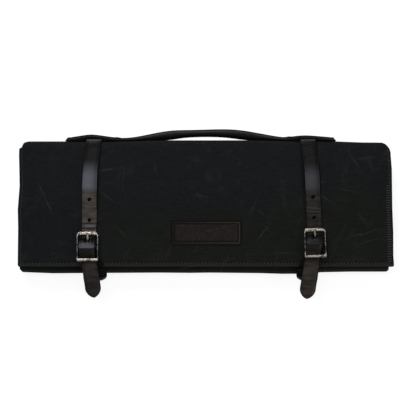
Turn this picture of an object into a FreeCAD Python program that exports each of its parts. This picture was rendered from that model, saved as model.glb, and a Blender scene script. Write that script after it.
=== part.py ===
"""Carving tool roll: a waxed-canvas folio with tool pockets, closed by two buckled leather belts.

The roll lies on its back. X runs along its length, +Y points to the handle edge, +Z points away from
the back through the front flap. The origin is the centre of the back panel's outer face. Millimetres.
"""
import FreeCAD, Part
import math
import os

V = FreeCAD.Vector
os.makedirs("parts", exist_ok=True)

# ---- closed roll -------------------------------------------------------------------------------
body_width = 465.0          # length of the pocketed body, along X
roll_height = 166.6         # spine to bottom fold, along Y
roll_depth = 28.0           # back face to outer face of the closed flap
canvas = 2.0                # outer waxed canvas with its stiffening ply
lining = 1.0                # cotton lining
pocket_cloth = 1.8          # doubled canvas of the pocket panel
lay_gap = 0.3               # air between two pieces that lie on each other
flap_gap = 0.4              # air between the pocket panel and the closed flap

# ---- pockets -----------------------------------------------------------------------------------
pocket_count = 10
seam_width = 2.4            # a sewn divider between two pockets
pocket_mouth_y = 15.0
mouth_binding = 3.0         # height of the tape along the pocket mouths
fold_height = 11.3          # canvas folded over at the bottom edge
fold_radius = 5.5           # rounding of the bottom fold, less than its corner rounding
fold_corner = 6.0
spine_edge_radius = 2.5

# ---- front flap --------------------------------------------------------------------------------
flap_left_top = -236.0
flap_right_top = 232.0
flap_left_bottom = -238.0
flap_right_bottom = 238.4
flap_bottom_y = -75.8
flap_split_y = -14.0        # the stiff upper part ends here, the supple lower edge begins
patch_size = (88.0, 32.0, 2.0)
patch_centre = (0.6, -34.0)
patch_corner = 2.5

# ---- leather belts -----------------------------------------------------------------------------
strap_width = 19.0
strap_thick = 2.8
strap_bend = 3.0            # centre-line radius where a belt turns over an edge
hole_radius = 2.2
hole_pitch = 26.2
hole_inset = 6.2            # the used hole lies this far below the buckle's top bar
back_anchor_y = 25.0        # the sewn ends on the back reach to here, above and below the middle
tip_length = 10.5           # length of the pointed belt end
tail_droop = 4.0            # how far the free end hangs
chape_ply = 1.5             # skived leather that is folded round the buckle bar
ply_gap = 0.2               # air between the two plies of the fold
wrap_bend = 11.0            # centre-line radius of the lower strap round the bottom fold
chape_wrap_reach = 9.7      # how far the loose lower strap stands out past the bottom fold

# one entry per belt: place of the belt on the spine, buckle centre, buckle turn in degrees,
# place of the lower strap on the bottom fold, and the point of the belt end
belts = {
    "left": {"top_x": -141.3, "buckle": (-149.4, -50.5), "turn": 0.0,
             "base_x": -138.0, "tip": (-142.5, -114.7)},
    "right": {"top_x": 131.0, "buckle": (139.7, -45.9), "turn": 4.0,
              "base_x": 129.0, "tip": (128.8, -116.3)},
}

# ---- buckles -----------------------------------------------------------------------------------
frame_width = 28.2
frame_height = 37.8
frame_plate = 2.6           # thickness of the frame
frame_top_bar = 5.0
frame_bottom_bar = 3.8
frame_side_bar = 2.2
frame_top_corner = 4.0
frame_bottom_corner = 1.6
centre_bar_radius = 1.6
bar_clearance = 0.1         # running clearance on the centre bar
prong_width = 2.4
prong_thick = 1.8
prong_side_gap = 0.5        # room on each side of the prong in the chape's slot and the belt's hole
prong_overhang = 0.6        # the prong's tip passes the frame's top edge by this much
strap_end_gap = 7.0         # the stiff run of a belt stops this far above the buckle

# ---- handle ------------------------------------------------------------------------------------
handle_thick = 3.4
handle_width = 22.0
handle_z = roll_depth / 2
anchor_outer = {"left": -179.0, "right": 167.0}
anchor_inner = {"left": -107.0, "right": 101.0}
hump_side = 7.5             # the anchor comes down this far beside the belt
grip_half_length = 63.0
grip_centre_x = -3.0
grip_radius = 4.75
grip_end_radius = 3.2
grip_finger_gap = 4.6
grip_sag = 4.0              # the grip's ends are lower than its middle by this much
core_share = 0.55           # radius of the cord core over the radius of the grip
arm_width = 14.0
rivet_head_radius = 4.5
rivet_head_height = 1.5
rivet_shank_radius = 1.5
rivet_inset = 6.5           # rivet centre from the end of an anchor
rivet_clearance = 0.05

# ---- derived places ----------------------------------------------------------------------------
half = body_width / 2
top_y = roll_height / 2
bottom_y = -roll_height / 2
spine_wall = canvas + lining
spine_inner_y = top_y - spine_wall
flap_inner_z = roll_depth - canvas - lining
pocket_top_z = flap_inner_z - flap_gap
pocket_under_z = pocket_top_z - pocket_cloth
inner_floor_z = canvas + lining
panel_low_y = bottom_y + fold_height
strap_z = roll_depth + lay_gap + strap_thick / 2
strap_back_z = -lay_gap - strap_thick / 2
strap_spine_y = top_y + lay_gap + strap_thick / 2
strap_front_start_y = top_y - strap_bend + lay_gap
frame_low_z = roll_depth + 2 * lay_gap + strap_thick
top_bar_z = frame_low_z + frame_plate / 2
bottom_bar_z = frame_low_z + 2 * chape_ply + ply_gap + lay_gap + frame_plate / 2
bar_z = (top_bar_z + bottom_bar_z) / 2
chape_radius = centre_bar_radius + bar_clearance + chape_ply / 2


def save(name, shape):
    """Write one node. A list becomes a group of separate solids."""
    if isinstance(shape, list):
        shape = Part.makeCompound(shape)
    shape.exportStep("parts/" + name + ".step")


def block(x0, x1, y0, y1, z0, z1):
    """Box between two corners."""
    return Part.makeBox(x1 - x0, y1 - y0, z1 - z0, V(x0, y0, z0))


def plan(points, z0, z1):
    """Prism over an outline of (x, y) points."""
    corners = [V(x, y, z0) for x, y in points]
    return Part.Face(Part.makePolygon(corners + corners[:1])).extrude(V(0, 0, z1 - z0))


def edges_along(shape, direction, keep):
    """Straight edges that run along a direction and whose middle passes the test."""
    found = []
    for edge in shape.Edges:
        run = edge.Vertexes[-1].Point - edge.Vertexes[0].Point
        if run.Length > 0 and abs(abs(run.normalize().dot(direction)) - 1) < 1e-6:
            if keep(edge.CenterOfMass):
                found.append(edge)
    return found


def side_points(path, bends, reach):
    """Corner data of one side of a bent strip: the line ends and the arcs' three points."""
    normal = (path[1] - path[0]).cross(path[2] - path[1]) if len(path) > 2 else V(0, 0, 1)
    for first, second, third in zip(path, path[1:], path[2:]):
        turn = (second - first).cross(third - second)
        if turn.Length > normal.Length:
            normal = turn
    normal = V(normal).normalize()
    steps = []
    across = normal.cross((path[1] - path[0]).normalize())
    steps.append([path[0] + across * reach])
    for before, corner, after, bend in zip(path, path[1:], path[2:], bends):
        into = (corner - before).normalize()
        out = (after - corner).normalize()
        cut = bend * math.tan(into.getAngle(out) / 2)
        enter = corner - into * cut
        leave = corner + out * cut
        side = 1 if into.cross(out).dot(normal) > 0 else -1
        centre = enter + normal.cross(into) * bend * side
        to_corner = (corner - centre).normalize()
        middle = centre + to_corner * (bend - reach * side)
        steps.append([enter + normal.cross(into) * reach, middle, leave + normal.cross(out) * reach])
    across = normal.cross((path[-1] - path[-2]).normalize())
    steps.append([path[-1] + across * reach])
    return steps


def bent_strip(path, bends, thick, width):
    """Flat strip of leather: a band of even thickness round a bent centre line, swept sideways by width.

    Each inner corner of the path is rounded by the bend radius of the same place in bends.
    """
    rims = []
    for reach in (thick / 2, -thick / 2):
        edges = []
        steps = side_points(path, bends, reach)
        here = steps[0][0]
        for step in steps[1:]:
            if (step[0] - here).Length > 1e-6:
                edges.append(Part.LineSegment(here, step[0]).toShape())
            if len(step) == 3:
                edges.append(Part.Arc(step[0], step[1], step[2]).toShape())
            here = step[-1]
        rims.append((edges, steps[0][0], here))
    caps = [Part.LineSegment(rims[0][i], rims[1][i]).toShape() for i in (1, 2)]
    outline = Part.Wire(Part.__sortEdges__(rims[0][0] + rims[1][0] + caps))
    face = Part.Face(outline)
    face.translate(width * -0.5)
    return face.extrude(width)


def strip_x(points, bends, thick, x_centre, width):
    """Bent strip whose centre line lies in a plane of constant X."""
    return bent_strip([V(x_centre, y, z) for y, z in points], bends, thick, V(width, 0, 0))


def strip_z(points, bends, thick, z_centre, width):
    """Bent strip whose centre line lies in a plane of constant Z."""
    return bent_strip([V(x, y, z_centre) for x, y in points], bends, thick, V(0, 0, width))


def slant_x(belt, y):
    """Centre of a belt's front run at a height y: a straight line from the spine to the buckle."""
    share = (top_y - y) / (top_y - belt["buckle"][1])
    return belt["top_x"] + share * (belt["buckle"][0] - belt["top_x"])


def turned(shape, belt):
    """Turn a piece of a buckle about the buckle's centre, in the plane of the flap."""
    shape.rotate(V(belt["buckle"][0], belt["buckle"][1], 0), V(0, 0, 1), belt["turn"])
    return shape


def above(y):
    """Everything on the handle side of a height y."""
    return block(-body_width, body_width, y, body_width, -body_width, body_width)


def below(y):
    """Everything on the bottom side of a height y."""
    return block(-body_width, body_width, -body_width, y, -body_width, body_width)


# ---- canvas body -------------------------------------------------------------------------------
def build_body():
    """Back panel, lining, bottom fold, spine, pocket panel, its seams and its mouth binding."""
    save("back_panel", block(-half, half, panel_low_y, spine_inner_y, 0, canvas))
    save("back_lining", block(-half, half, panel_low_y, spine_inner_y, canvas, inner_floor_z))

    fold = block(-half, half, bottom_y, panel_low_y, 0, pocket_top_z)
    fold = fold.makeFillet(fold_corner, edges_along(fold, V(0, 0, 1), lambda p: p.y < bottom_y + 1))
    long_rims = edges_along(fold, V(1, 0, 0), lambda p: p.y < bottom_y + 1)
    save("bottom_fold", fold.makeFillet(fold_radius, long_rims))

    spine = block(-half, half, spine_inner_y, top_y, 0, roll_depth)
    spine = spine.makeFillet(spine_edge_radius, edges_along(spine, V(1, 0, 0), lambda p: p.y > top_y - 1))
    for x in rivet_places():
        spine = spine.cut(rivet_bore(x))
    save("spine_panel", spine)

    save("pocket_panel", block(-half, half, panel_low_y, pocket_mouth_y, pocket_under_z, pocket_top_z))
    tape_top = pocket_mouth_y + mouth_binding
    save("pocket_mouth_binding", block(-half, half, pocket_mouth_y, tape_top, pocket_under_z, pocket_top_z))
    pitch = (body_width - seam_width) / pocket_count
    seams = []
    for i in range(pocket_count + 1):
        x = -half + i * pitch
        seams.append(block(x, x + seam_width, panel_low_y, pocket_mouth_y, inner_floor_z, pocket_under_z))
    save("pocket_seams", seams)


# ---- front flap --------------------------------------------------------------------------------
def flap_outline(y_high, y_low):
    """The flap's outline between two heights: it widens a little towards its free edge."""
    rise = spine_inner_y - lay_gap - flap_bottom_y
    corners = []
    for y, edges in ((y_high, ("left", "right")), (y_low, ("right", "left"))):
        share = (spine_inner_y - lay_gap - y) / rise
        left = flap_left_top + share * (flap_left_bottom - flap_left_top)
        right = flap_right_top + share * (flap_right_bottom - flap_right_top)
        corners += [(left if edge == "left" else right, y) for edge in edges]
    return corners


def build_flap():
    """Stiff upper flap with its lining, supple lower edge, and the bare leather patch."""
    flap_top_y = spine_inner_y - lay_gap
    lining_top_z = flap_inner_z + lining
    save("front_flap", plan(flap_outline(flap_top_y, flap_split_y), lining_top_z, roll_depth))
    save("flap_lining", plan(flap_outline(flap_top_y, flap_split_y), flap_inner_z, lining_top_z))
    save("flap_lower_edge", plan(flap_outline(flap_split_y, flap_bottom_y), flap_inner_z, roll_depth))
    x0 = patch_centre[0] - patch_size[0] / 2
    y0 = patch_centre[1] - patch_size[1] / 2
    patch = block(x0, x0 + patch_size[0], y0, y0 + patch_size[1], roll_depth, roll_depth + patch_size[2])
    save("name_patch", patch.makeFillet(patch_corner, edges_along(patch, V(0, 0, 1), lambda p: True)))


# ---- belts -------------------------------------------------------------------------------------
def belt_outline(belt):
    """Outline of a belt's front: straight to the buckle, then leaning to its pointed end."""
    side = strap_width / 2
    low_y = belt["buckle"][1] - frame_height / 2
    low_x = slant_x(belt, low_y)
    tip_x, tip_y = belt["tip"]
    shoulder_y = tip_y + tip_length
    lean = (tip_x - low_x) / (low_y - tip_y)
    shoulder_x = low_x + lean * (low_y - shoulder_y)
    high_x = slant_x(belt, top_y)
    right = [(high_x + side, top_y), (low_x + side, low_y), (shoulder_x + side, shoulder_y)]
    left = [(shoulder_x - side, shoulder_y), (low_x - side, low_y), (high_x - side, top_y)]
    return right + [(tip_x, tip_y)] + left


def build_belt(side, belt):
    """One belt: run over the spine, stiff front run, and the supple end that threads the buckle."""
    buckle_y = belt["buckle"][1]
    over_spine = [(back_anchor_y, strap_back_z), (strap_spine_y, strap_back_z),
                  (strap_spine_y, strap_z), (strap_front_start_y, strap_z)]
    top_run = strip_x(over_spine, [strap_bend, strap_bend], strap_thick, belt["top_x"], strap_width)
    save("strap_" + side + "_top", top_run)

    start_y = strap_front_start_y - lay_gap
    split_y = buckle_y + frame_height / 2 + strap_end_gap
    over_bar_z = bar_z + chape_radius + chape_ply / 2 + lay_gap + strap_thick / 2
    under_bar_z = bottom_bar_z - frame_plate / 2 - lay_gap / 2 - strap_thick / 2
    window_top = buckle_y + frame_height / 2 - frame_top_bar
    window_low = buckle_y - frame_height / 2 + frame_bottom_bar
    threaded = [(split_y + 2, strap_z), (window_top - 2, strap_z), (buckle_y + 3.5, over_bar_z),
                (buckle_y - 3.5, over_bar_z), (window_low + 2, under_bar_z),
                (bottom_y - chape_wrap_reach, under_bar_z), (belt["tip"][1] - 2, under_bar_z - tail_droop)]
    end = strip_x(threaded, [3, 3, 3, 3, 20], strap_thick, slant_x(belt, buckle_y), 4 * strap_width)
    slot_side = prong_width / 2 + prong_side_gap
    slot = block(belt["buckle"][0] - slot_side, belt["buckle"][0] + slot_side, buckle_y + 2.5,
                 window_top - 1, roll_depth, 2 * roll_depth)
    end = turned(end.cut(slot), belt).common(below(split_y))
    low_z = strap_z - strap_thick / 2
    run = block(-body_width, body_width, split_y, start_y, low_z, low_z + strap_thick)
    outline = plan(belt_outline(belt), 0, 2 * roll_depth)
    run = run.common(outline)
    end = end.common(outline)
    prong_hole_y = window_top - hole_inset
    for i in (1, 2):
        y = prong_hole_y + i * hole_pitch
        run = run.cut(Part.makeCylinder(hole_radius, 2 * roll_depth, V(slant_x(belt, y), y, 0)))
    save("strap_" + side, run)
    save("strap_" + side + "_end", end)


def build_lower_strap(side, belt):
    """Lower strap: the part sewn to the back and led round the bottom, and the folded chape on the front."""
    wrap_y = bottom_y - chape_wrap_reach + strap_thick / 2
    hinge_y = bottom_y + lay_gap + strap_bend
    around = [(-back_anchor_y, strap_back_z), (wrap_y, strap_back_z), (wrap_y, strap_z), (hinge_y, strap_z)]
    base = strip_x(around, [wrap_bend, wrap_bend], strap_thick, belt["base_x"], strap_width)
    save("chape_" + side + "_base", base)

    bar_x, bar_y = belt["buckle"]
    low_ply_z = roll_depth + lay_gap + chape_ply / 2
    flat_y = bar_y - frame_height / 2 + 6
    end_y = hinge_y + lay_gap
    high_ply_z = low_ply_z + chape_ply + ply_gap
    folded = [(end_y - 2, high_ply_z), (flat_y, high_ply_z),
              (bar_y - 1, bar_z + chape_radius), (bar_y + chape_radius, bar_z + chape_radius),
              (bar_y + chape_radius, bar_z - chape_radius), (bar_y - 1, bar_z - chape_radius),
              (flat_y + 3, low_ply_z), (end_y - 2, low_ply_z)]
    bends = [2, 2, chape_radius, chape_radius, 2, 4]
    chape = strip_x(folded, bends, chape_ply, bar_x, 4 * strap_width)
    slot_side = prong_width / 2 + prong_side_gap
    slot = block(bar_x - slot_side, bar_x + slot_side, bar_y - chape_radius - 3, bar_y + 2 * chape_radius,
                 high_ply_z, 2 * roll_depth)
    chape = turned(chape.cut(slot), belt).common(above(end_y))
    slope = math.sin(math.radians(belt["turn"]))
    inward = math.copysign(1, belt["base_x"] - bar_x)
    play = (frame_width - strap_width) / 2 - frame_side_bar
    low_y = bar_y - frame_height / 2 + frame_bottom_bar
    middles = [(bar_x - strap_width * slope, bar_y + strap_width),
               (bar_x, bar_y - 4),
               (bar_x + (bar_y - low_y) * slope + inward * play / 2, low_y),
               (belt["base_x"], end_y)]
    outline = [(x - strap_width / 2, y) for x, y in middles]
    outline += [(x + strap_width / 2, y) for x, y in reversed(middles)]
    save("chape_" + side, chape.common(plan(outline, 0, 2 * roll_depth)))


def build_buckle(side, belt):
    """Nickel frame with its centre bar, and the prong that turns on the bar."""
    x, y = belt["buckle"]
    tilt = math.degrees(math.atan2(bottom_bar_z - top_bar_z, frame_height - frame_top_bar))
    frame = block(x - frame_width / 2, x + frame_width / 2, y - frame_height / 2, y + frame_height / 2,
                  bar_z - frame_plate / 2, bar_z + frame_plate / 2)
    frame = frame.makeFillet(frame_top_corner, edges_along(frame, V(0, 0, 1), lambda p: p.y > y))
    frame = frame.makeFillet(frame_bottom_corner, edges_along(frame, V(0, 0, 1), lambda p: p.y < y))
    window = block(x - frame_width / 2 + frame_side_bar, x + frame_width / 2 - frame_side_bar,
                   y - frame_height / 2 + frame_bottom_bar, y + frame_height / 2 - frame_top_bar,
                   0, 2 * roll_depth)
    frame = frame.cut(window)
    bar_length = frame_width - frame_side_bar
    bar = Part.makeCylinder(centre_bar_radius, bar_length, V(x - bar_length / 2, y, bar_z), V(1, 0, 0))
    frame = frame.fuse(bar).removeSplitter()
    frame.rotate(V(x, y, bar_z), V(1, 0, 0), -tilt)
    save("buckle_frame_" + side, turned(frame, belt))

    eye_inner = centre_bar_radius + bar_clearance
    eye_outer = eye_inner + prong_thick / 2 + 0.4
    eye = Part.makeCylinder(eye_outer, prong_width, V(x - prong_width / 2, y, bar_z), V(1, 0, 0))
    bore = Part.makeCylinder(eye_inner, 2 * prong_width, V(x - prong_width, y, bar_z), V(1, 0, 0))
    tip_y = y + frame_height / 2 + prong_overhang
    rest_z = top_bar_z + frame_plate / 2 + lay_gap + prong_thick / 2
    root_z = bar_z + chape_radius + chape_ply / 2 - prong_thick / 2
    shank = strip_x([(y, root_z), (y + frame_height / 4, (root_z + rest_z) / 2 + 0.2), (tip_y, rest_z)], [30],
                    prong_thick, x, prong_width)
    prong = eye.fuse(shank).cut(bore).removeSplitter()
    save("prong_" + side, turned(prong, belt))


# ---- handle ------------------------------------------------------------------------------------
def rivet_places():
    """The four rivets, two in each handle anchor, along X."""
    places = []
    for side, inward in (("left", 1), ("right", -1)):
        places.append(anchor_outer[side] + inward * rivet_inset)
        places.append(anchor_inner[side] - inward * rivet_inset)
    return places


def rivet_bore(x):
    """Hole for a rivet through the handle leather and the spine."""
    reach = 2 * spine_wall + handle_thick
    radius = rivet_shank_radius + rivet_clearance
    return Part.makeCylinder(radius, 2 * reach, V(x, top_y - reach, handle_z), V(0, 1, 0))


def build_handle():
    """Anchors humped over the belts, rivets, rolled grip round its cord core, and the two supple arms."""
    low_y = top_y + handle_thick / 2
    high_y = top_y + 2 * lay_gap + strap_thick + handle_thick / 2
    for side, inward in (("left", 1), ("right", -1)):
        centre = belts[side]["top_x"]
        inner_side = centre + inward * strap_width / 2
        outer_side = centre - inward * strap_width / 2
        path = [(anchor_outer[side], low_y), (outer_side - inward * hump_side, low_y),
                (outer_side - inward * 3, high_y), (inner_side + inward * 3, high_y),
                (inner_side + inward * hump_side, low_y), (anchor_inner[side], low_y)]
        anchor = strip_z(path, [4, 4, 4, 4], handle_thick, handle_z, handle_width)
        for x in rivet_places():
            anchor = anchor.cut(rivet_bore(x))
        save("handle_anchor_" + side, anchor)

    rivets = []
    head_y = top_y + handle_thick
    shank_length = handle_thick + spine_wall
    for x in rivet_places():
        head = Part.makeCylinder(rivet_head_radius, rivet_head_height, V(x, head_y, handle_z), V(0, 1, 0))
        rim = [edge for edge in head.Edges if edge.CenterOfMass.y > head_y + rivet_head_height / 2]
        head = head.makeFillet(rivet_head_height * 0.8, rim[:1])
        shank = Part.makeCylinder(rivet_shank_radius, shank_length, V(x, spine_inner_y, handle_z), V(0, 1, 0))
        washer_y = spine_inner_y - rivet_head_height
        washer = Part.makeCylinder(rivet_head_radius, rivet_head_height, V(x, washer_y, handle_z), V(0, 1, 0))
        rivets.append(head.fuse([shank, washer]).removeSplitter())
    save("handle_rivets", rivets)

    grip_y = top_y + grip_finger_gap + grip_radius
    sections = {1.0: [], core_share: []}
    for i in range(7):
        t = -1 + i / 3
        centre = V(grip_centre_x + t * grip_half_length, grip_y - grip_sag * t * t, handle_z)
        radius = grip_radius - (grip_radius - grip_end_radius) * t * t
        along = V(grip_half_length, -2 * grip_sag * t, 0)
        for share, rings in sections.items():
            rings.append(Part.Wire(Part.Circle(centre, along, radius * share).toShape()))
    outer = Part.makeLoft(sections[1.0], True)
    hollow = Part.makeLoft(sections[core_share], True)
    save("handle_grip", outer.cut(hollow))
    save("handle_core", hollow)

    end_y = grip_y - grip_sag
    start_y = low_y + lay_gap
    for side, outward in (("left", -1), ("right", 1)):
        end_x = grip_centre_x + outward * (grip_half_length + 2 * lay_gap)
        start_x = anchor_inner[side] - outward * lay_gap
        third = (end_x - start_x) / 3
        path = [(start_x, start_y), (start_x + third, start_y + 0.6),
                (start_x + 2 * third, end_y - 1.2), (end_x, end_y)]
        save("handle_arm_" + side, strip_z(path, [30, 30], handle_thick, handle_z, arm_width))


build_body()
build_flap()
build_handle()
for belt_side, belt_sizes in belts.items():
    build_belt(belt_side, belt_sizes)
    build_lower_strap(belt_side, belt_sizes)
    build_buckle(belt_side, belt_sizes)
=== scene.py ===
import math

import bmesh
import bpy
import numpy as np
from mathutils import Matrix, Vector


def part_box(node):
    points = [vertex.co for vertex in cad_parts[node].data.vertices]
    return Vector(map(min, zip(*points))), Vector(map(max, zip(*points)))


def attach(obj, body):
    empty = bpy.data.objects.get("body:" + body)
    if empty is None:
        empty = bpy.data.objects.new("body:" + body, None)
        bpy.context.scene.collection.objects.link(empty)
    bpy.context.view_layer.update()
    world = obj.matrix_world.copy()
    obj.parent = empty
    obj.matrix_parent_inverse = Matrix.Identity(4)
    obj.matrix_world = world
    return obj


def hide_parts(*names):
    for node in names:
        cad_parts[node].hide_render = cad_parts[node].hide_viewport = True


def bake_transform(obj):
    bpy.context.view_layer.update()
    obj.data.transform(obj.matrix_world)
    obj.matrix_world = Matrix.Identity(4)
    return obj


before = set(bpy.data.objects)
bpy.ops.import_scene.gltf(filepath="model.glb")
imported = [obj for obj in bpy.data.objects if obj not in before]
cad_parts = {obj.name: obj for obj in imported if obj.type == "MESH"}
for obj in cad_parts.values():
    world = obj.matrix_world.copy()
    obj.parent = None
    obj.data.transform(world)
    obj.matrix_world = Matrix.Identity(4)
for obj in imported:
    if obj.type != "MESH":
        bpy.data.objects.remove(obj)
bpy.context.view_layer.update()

mm = 0.001


# ---- Studio ------------------------------------------------------------------------------------
# The roll lies on its back on a plain white table and is seen from straight above through a long
# lens. A large soft box behind its spine, a weak one at the lower right and one overhead
# light it, as for a catalogue.
scene = bpy.context.scene
scene.view_settings.view_transform = "Standard"
table_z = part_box("strap_left_top")[0][2]
flap_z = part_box("front_flap")[1][2]


def linear(code):
    """sRGB hex colour to the linear values that the shaders take."""
    parts = np.array([int(code[i:i + 2], 16) for i in (1, 3, 5)]) / 255
    parts = np.where(parts <= 0.04045, parts / 12.92, ((parts + 0.055) / 1.055) ** 2.4)
    return (*parts, 1.0)


def connect(tree, node, links):
    """Set a node's inputs. Each gets a value, one of another node's outputs, or another node, whose factor
    or else whose first enabled output it then takes."""
    for key, value in links.items():
        if isinstance(value, bpy.types.Node):
            value = value.outputs.get("Fac") or next(socket for socket in value.outputs if socket.enabled)
        if isinstance(value, bpy.types.NodeSocket):
            tree.links.new(value, node.inputs[key])
        else:
            node.inputs[key].default_value = value


def add(tree, kind, *first, **others):
    """Add a shader node. Its first inputs are given in order. Of the others, a name with a capital is an
    input's, with underscores for its spaces, and one without is a setting's."""
    made = tree.nodes.new("ShaderNode" + kind)
    for key, value in others.items():
        if key[0].islower():
            setattr(made, key, value)
    named = {key.replace("_", " "): value for key, value in others.items() if key[0].isupper()}
    connect(tree, made, {**dict(enumerate(first)), **named})
    return made


def new_material(name):
    """A material with its node tree, its Principled shader and the place on the object."""
    material = bpy.data.materials.new(name)
    material.use_nodes = True
    tree = material.node_tree
    return material, tree, tree.nodes["Principled BSDF"], add(tree, "TexCoord").outputs["Object"]


def dress(tree, shader, ground, layers, bumps, links):
    """Give a shader its colour, its relief and its other inputs. The layers lie on the ground colour, each
    with its share and its tone, and the bumps on each other, each with its height, its strength and its
    depth in mm."""
    colour, below = linear(ground), {}
    for share, tone in layers:
        colour = add(tree, "Mix", Factor=share, A=colour, B=linear(tone), data_type="RGBA")
    for height, strength, depth in bumps:
        bump = add(tree, "Bump", Height=height, Strength=strength, Distance=depth * mm, **below)
        below = {"Normal": bump}
    connect(tree, shader, {"Base Color": colour, **below, **links})


def put(name, data):
    """Link a mesh, lamp or camera into the scene as an object at the origin."""
    made = bpy.data.objects.new(name, data)
    scene.collection.objects.link(made)
    return made


def table_top():
    """Matte white table that burns out to white for the camera and for the metal, and keeps the shadow."""
    half, z = 3.0, table_z - 0.5 * mm
    mesh = bpy.data.meshes.new("table_top")
    mesh.from_pydata([(-half, -half, z), (half, -half, z), (half, half, z), (-half, half, z)], [],
                     [(0, 1, 2, 3)])
    material, tree, shader, _ = new_material("matte_white_laminate")
    tree.nodes.remove(shader)
    path = add(tree, "LightPath")
    seen = path.outputs["Is Camera Ray"]
    for ray in ("Is Glossy Ray", "Is Transmission Ray"):
        seen = add(tree, "Math", seen, path.outputs[ray], operation="MAXIMUM")
    glow = add(tree, "Math", seen, 0.84, operation="MULTIPLY")
    white = add(tree, "Emission", Color=(1, 1, 1, 1), Strength=glow)
    matte = add(tree, "BsdfDiffuse", Color=linear("#8a8a8a"))
    both = add(tree, "AddShader", white, matte)
    connect(tree, tree.nodes["Material Output"], {"Surface": both})
    mesh.materials.append(material)
    put("table_top", mesh)


def soft_box(name, place, size, power):
    """Area lamp of a width and height that faces the roll."""
    lamp = bpy.data.lights.new(name, "AREA")
    lamp.shape = "RECTANGLE"
    lamp.size, lamp.size_y = size
    lamp.energy = power
    made = put(name, lamp)
    made.location = place
    made.rotation_euler = (-made.location).to_track_quat("-Z", "Y").to_euler()


def studio():
    """Table, white surroundings, three soft boxes and a camera that looks straight down."""
    table_top()
    scene.world = bpy.data.worlds.new("white_surroundings")
    scene.world.use_nodes = True
    tree = scene.world.node_tree
    seen = add(tree, "LightPath").outputs["Is Camera Ray"]
    strength = add(tree, "MapRange", seen, To_Min=0.3, To_Max=1.0)
    connect(tree, tree.nodes["Background"], {"Color": (1, 1, 1, 1), "Strength": strength})
    soft_box("soft_box_key", (-0.5, 1.3, 1.1), (0.9, 0.5), 23.2)
    soft_box("soft_box_side", (1.2, -0.75, 0.8), (0.6, 1.0), 7.6)
    soft_box("soft_box_top", (-0.1, 0.26, 1.7), (1.2, 0.3), 6.0)
    eye = bpy.data.cameras.new("camera")
    eye.sensor_width, eye.lens, eye.clip_end = 36, 180, 20
    view_width, aim_x, aim_y = 0.5283, 3.4 * mm, -1.8 * mm
    scene.camera = put("camera", eye)
    scene.camera.location = (aim_x, aim_y, flap_z + view_width * eye.lens / eye.sensor_width)


studio()


# ---- Front flap --------------------------------------------------------------------------------
# One piece of black waxed cotton canvas runs up the spine and down the front as the flap. Its free
# edges are turned under and sewn with black thread, and a charcoal cotton lining backs it.
flap_low_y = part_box("flap_lower_edge")[0][1]
spine_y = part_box("spine_panel")[1][1]
body_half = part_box("back_panel")[1][0]
canvas_thick = 1.7 * mm
lining_thick = 0.8 * mm


def length_along(path):
    """Length of a path from its start to each of its points."""
    return np.concatenate([[0], np.cumsum(np.linalg.norm(np.diff(path, axis=0), axis=1))])


def spline(points, count):
    """Cubic B-spline through control points in millimetres, clamped at its ends, in even steps."""
    control = np.array(points, float) * mm
    control = np.concatenate([control[:1], control[:1], control, control[-1:], control[-1:]])
    t = np.linspace(0, 1, 40, endpoint=False)[:, None]
    basis = [(1 - t) ** 3, 3 * t ** 3 - 6 * t ** 2 + 4, -3 * t ** 3 + 3 * t ** 2 + 3 * t + 1, t ** 3]
    fine = [sum(basis[k] * control[i + k] for k in range(4)) / 6 for i in range(len(control) - 3)]
    fine = np.concatenate(fine + [control[-1:]])
    along = length_along(fine)
    even = np.linspace(0, along[-1], count)
    return np.stack([np.interp(even, along, fine[:, k]) for k in (0, 1)], axis=1)


def smooth(value, low, high):
    """0 below low, 1 above high, and an S-curve between."""
    t = np.clip((value - low) / (high - low), 0, 1)
    return t * t * (3 - 2 * t)


def fade(value, low, high):
    """The same with its limits in millimetres, and the value in metres."""
    return smooth(value, low * mm, high * mm)


def join(*axes):
    """Points from their coordinates, or faces from their corners, which are spread to one shape."""
    return np.stack(np.broadcast_arrays(*axes), axis=-1)


def unit(vectors):
    """Vectors scaled to a length of 1."""
    return vectors / np.linalg.norm(vectors, axis=-1, keepdims=True)


def facing(surface):
    """Unit normals of a surface given as a grid of points."""
    return unit(np.cross(np.gradient(surface, axis=0), np.gradient(surface, axis=1)))


def close_mesh(name, points, faces, material, uv=None):
    """Mesh from arrays: points, lists of quads and triangles, and one UV pair per point, which is its x and
    y where none is given. Normals point out."""
    points = points.reshape(-1, 3)
    uv = points[:, :2] if uv is None else uv
    mesh = bpy.data.meshes.new(name)
    mesh.from_pydata(points.tolist(), [], [face for group in faces for face in group.tolist()])
    layer = mesh.uv_layers.new(name="UVMap")
    corner = np.empty(len(mesh.loops), np.int32)
    mesh.loops.foreach_get("vertex_index", corner)
    layer.data.foreach_set("uv", np.asarray(uv, np.float32)[corner].ravel())
    work = bmesh.new()
    work.from_mesh(mesh)
    bmesh.ops.recalc_face_normals(work, faces=work.faces)
    work.to_mesh(mesh)
    work.free()
    mesh.polygons.foreach_set("use_smooth", np.full(len(mesh.polygons), True))
    mesh.materials.append(material)
    return put(name, mesh)


def cloth(name, surface, thickness, material, uv=slice(0, 2)):
    """Closed sheet: the outer surface, its copy moved inwards along the normals, and a rim between them. uv
    says which two coordinates the UV map takes."""
    points = np.stack([surface, surface - facing(surface) * thickness])
    rows, columns = surface.shape[:2]
    index = np.arange(rows * columns).reshape(rows, columns)
    quads = join(index[:-1, :-1], index[1:, :-1], index[1:, 1:], index[:-1, 1:]).reshape(-1, 4)
    rim = np.concatenate([index[:-1, 0], index[-1, :-1], index[:0:-1, -1], index[0, :0:-1]])
    after = np.roll(rim, -1)
    walls = join(rim, rim + index.size, after + index.size, after)
    both = np.concatenate([surface[..., uv].reshape(-1, 2)] * 2)
    return close_mesh(name, points, [quads, quads[:, ::-1] + index.size, walls], material, both)


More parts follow.
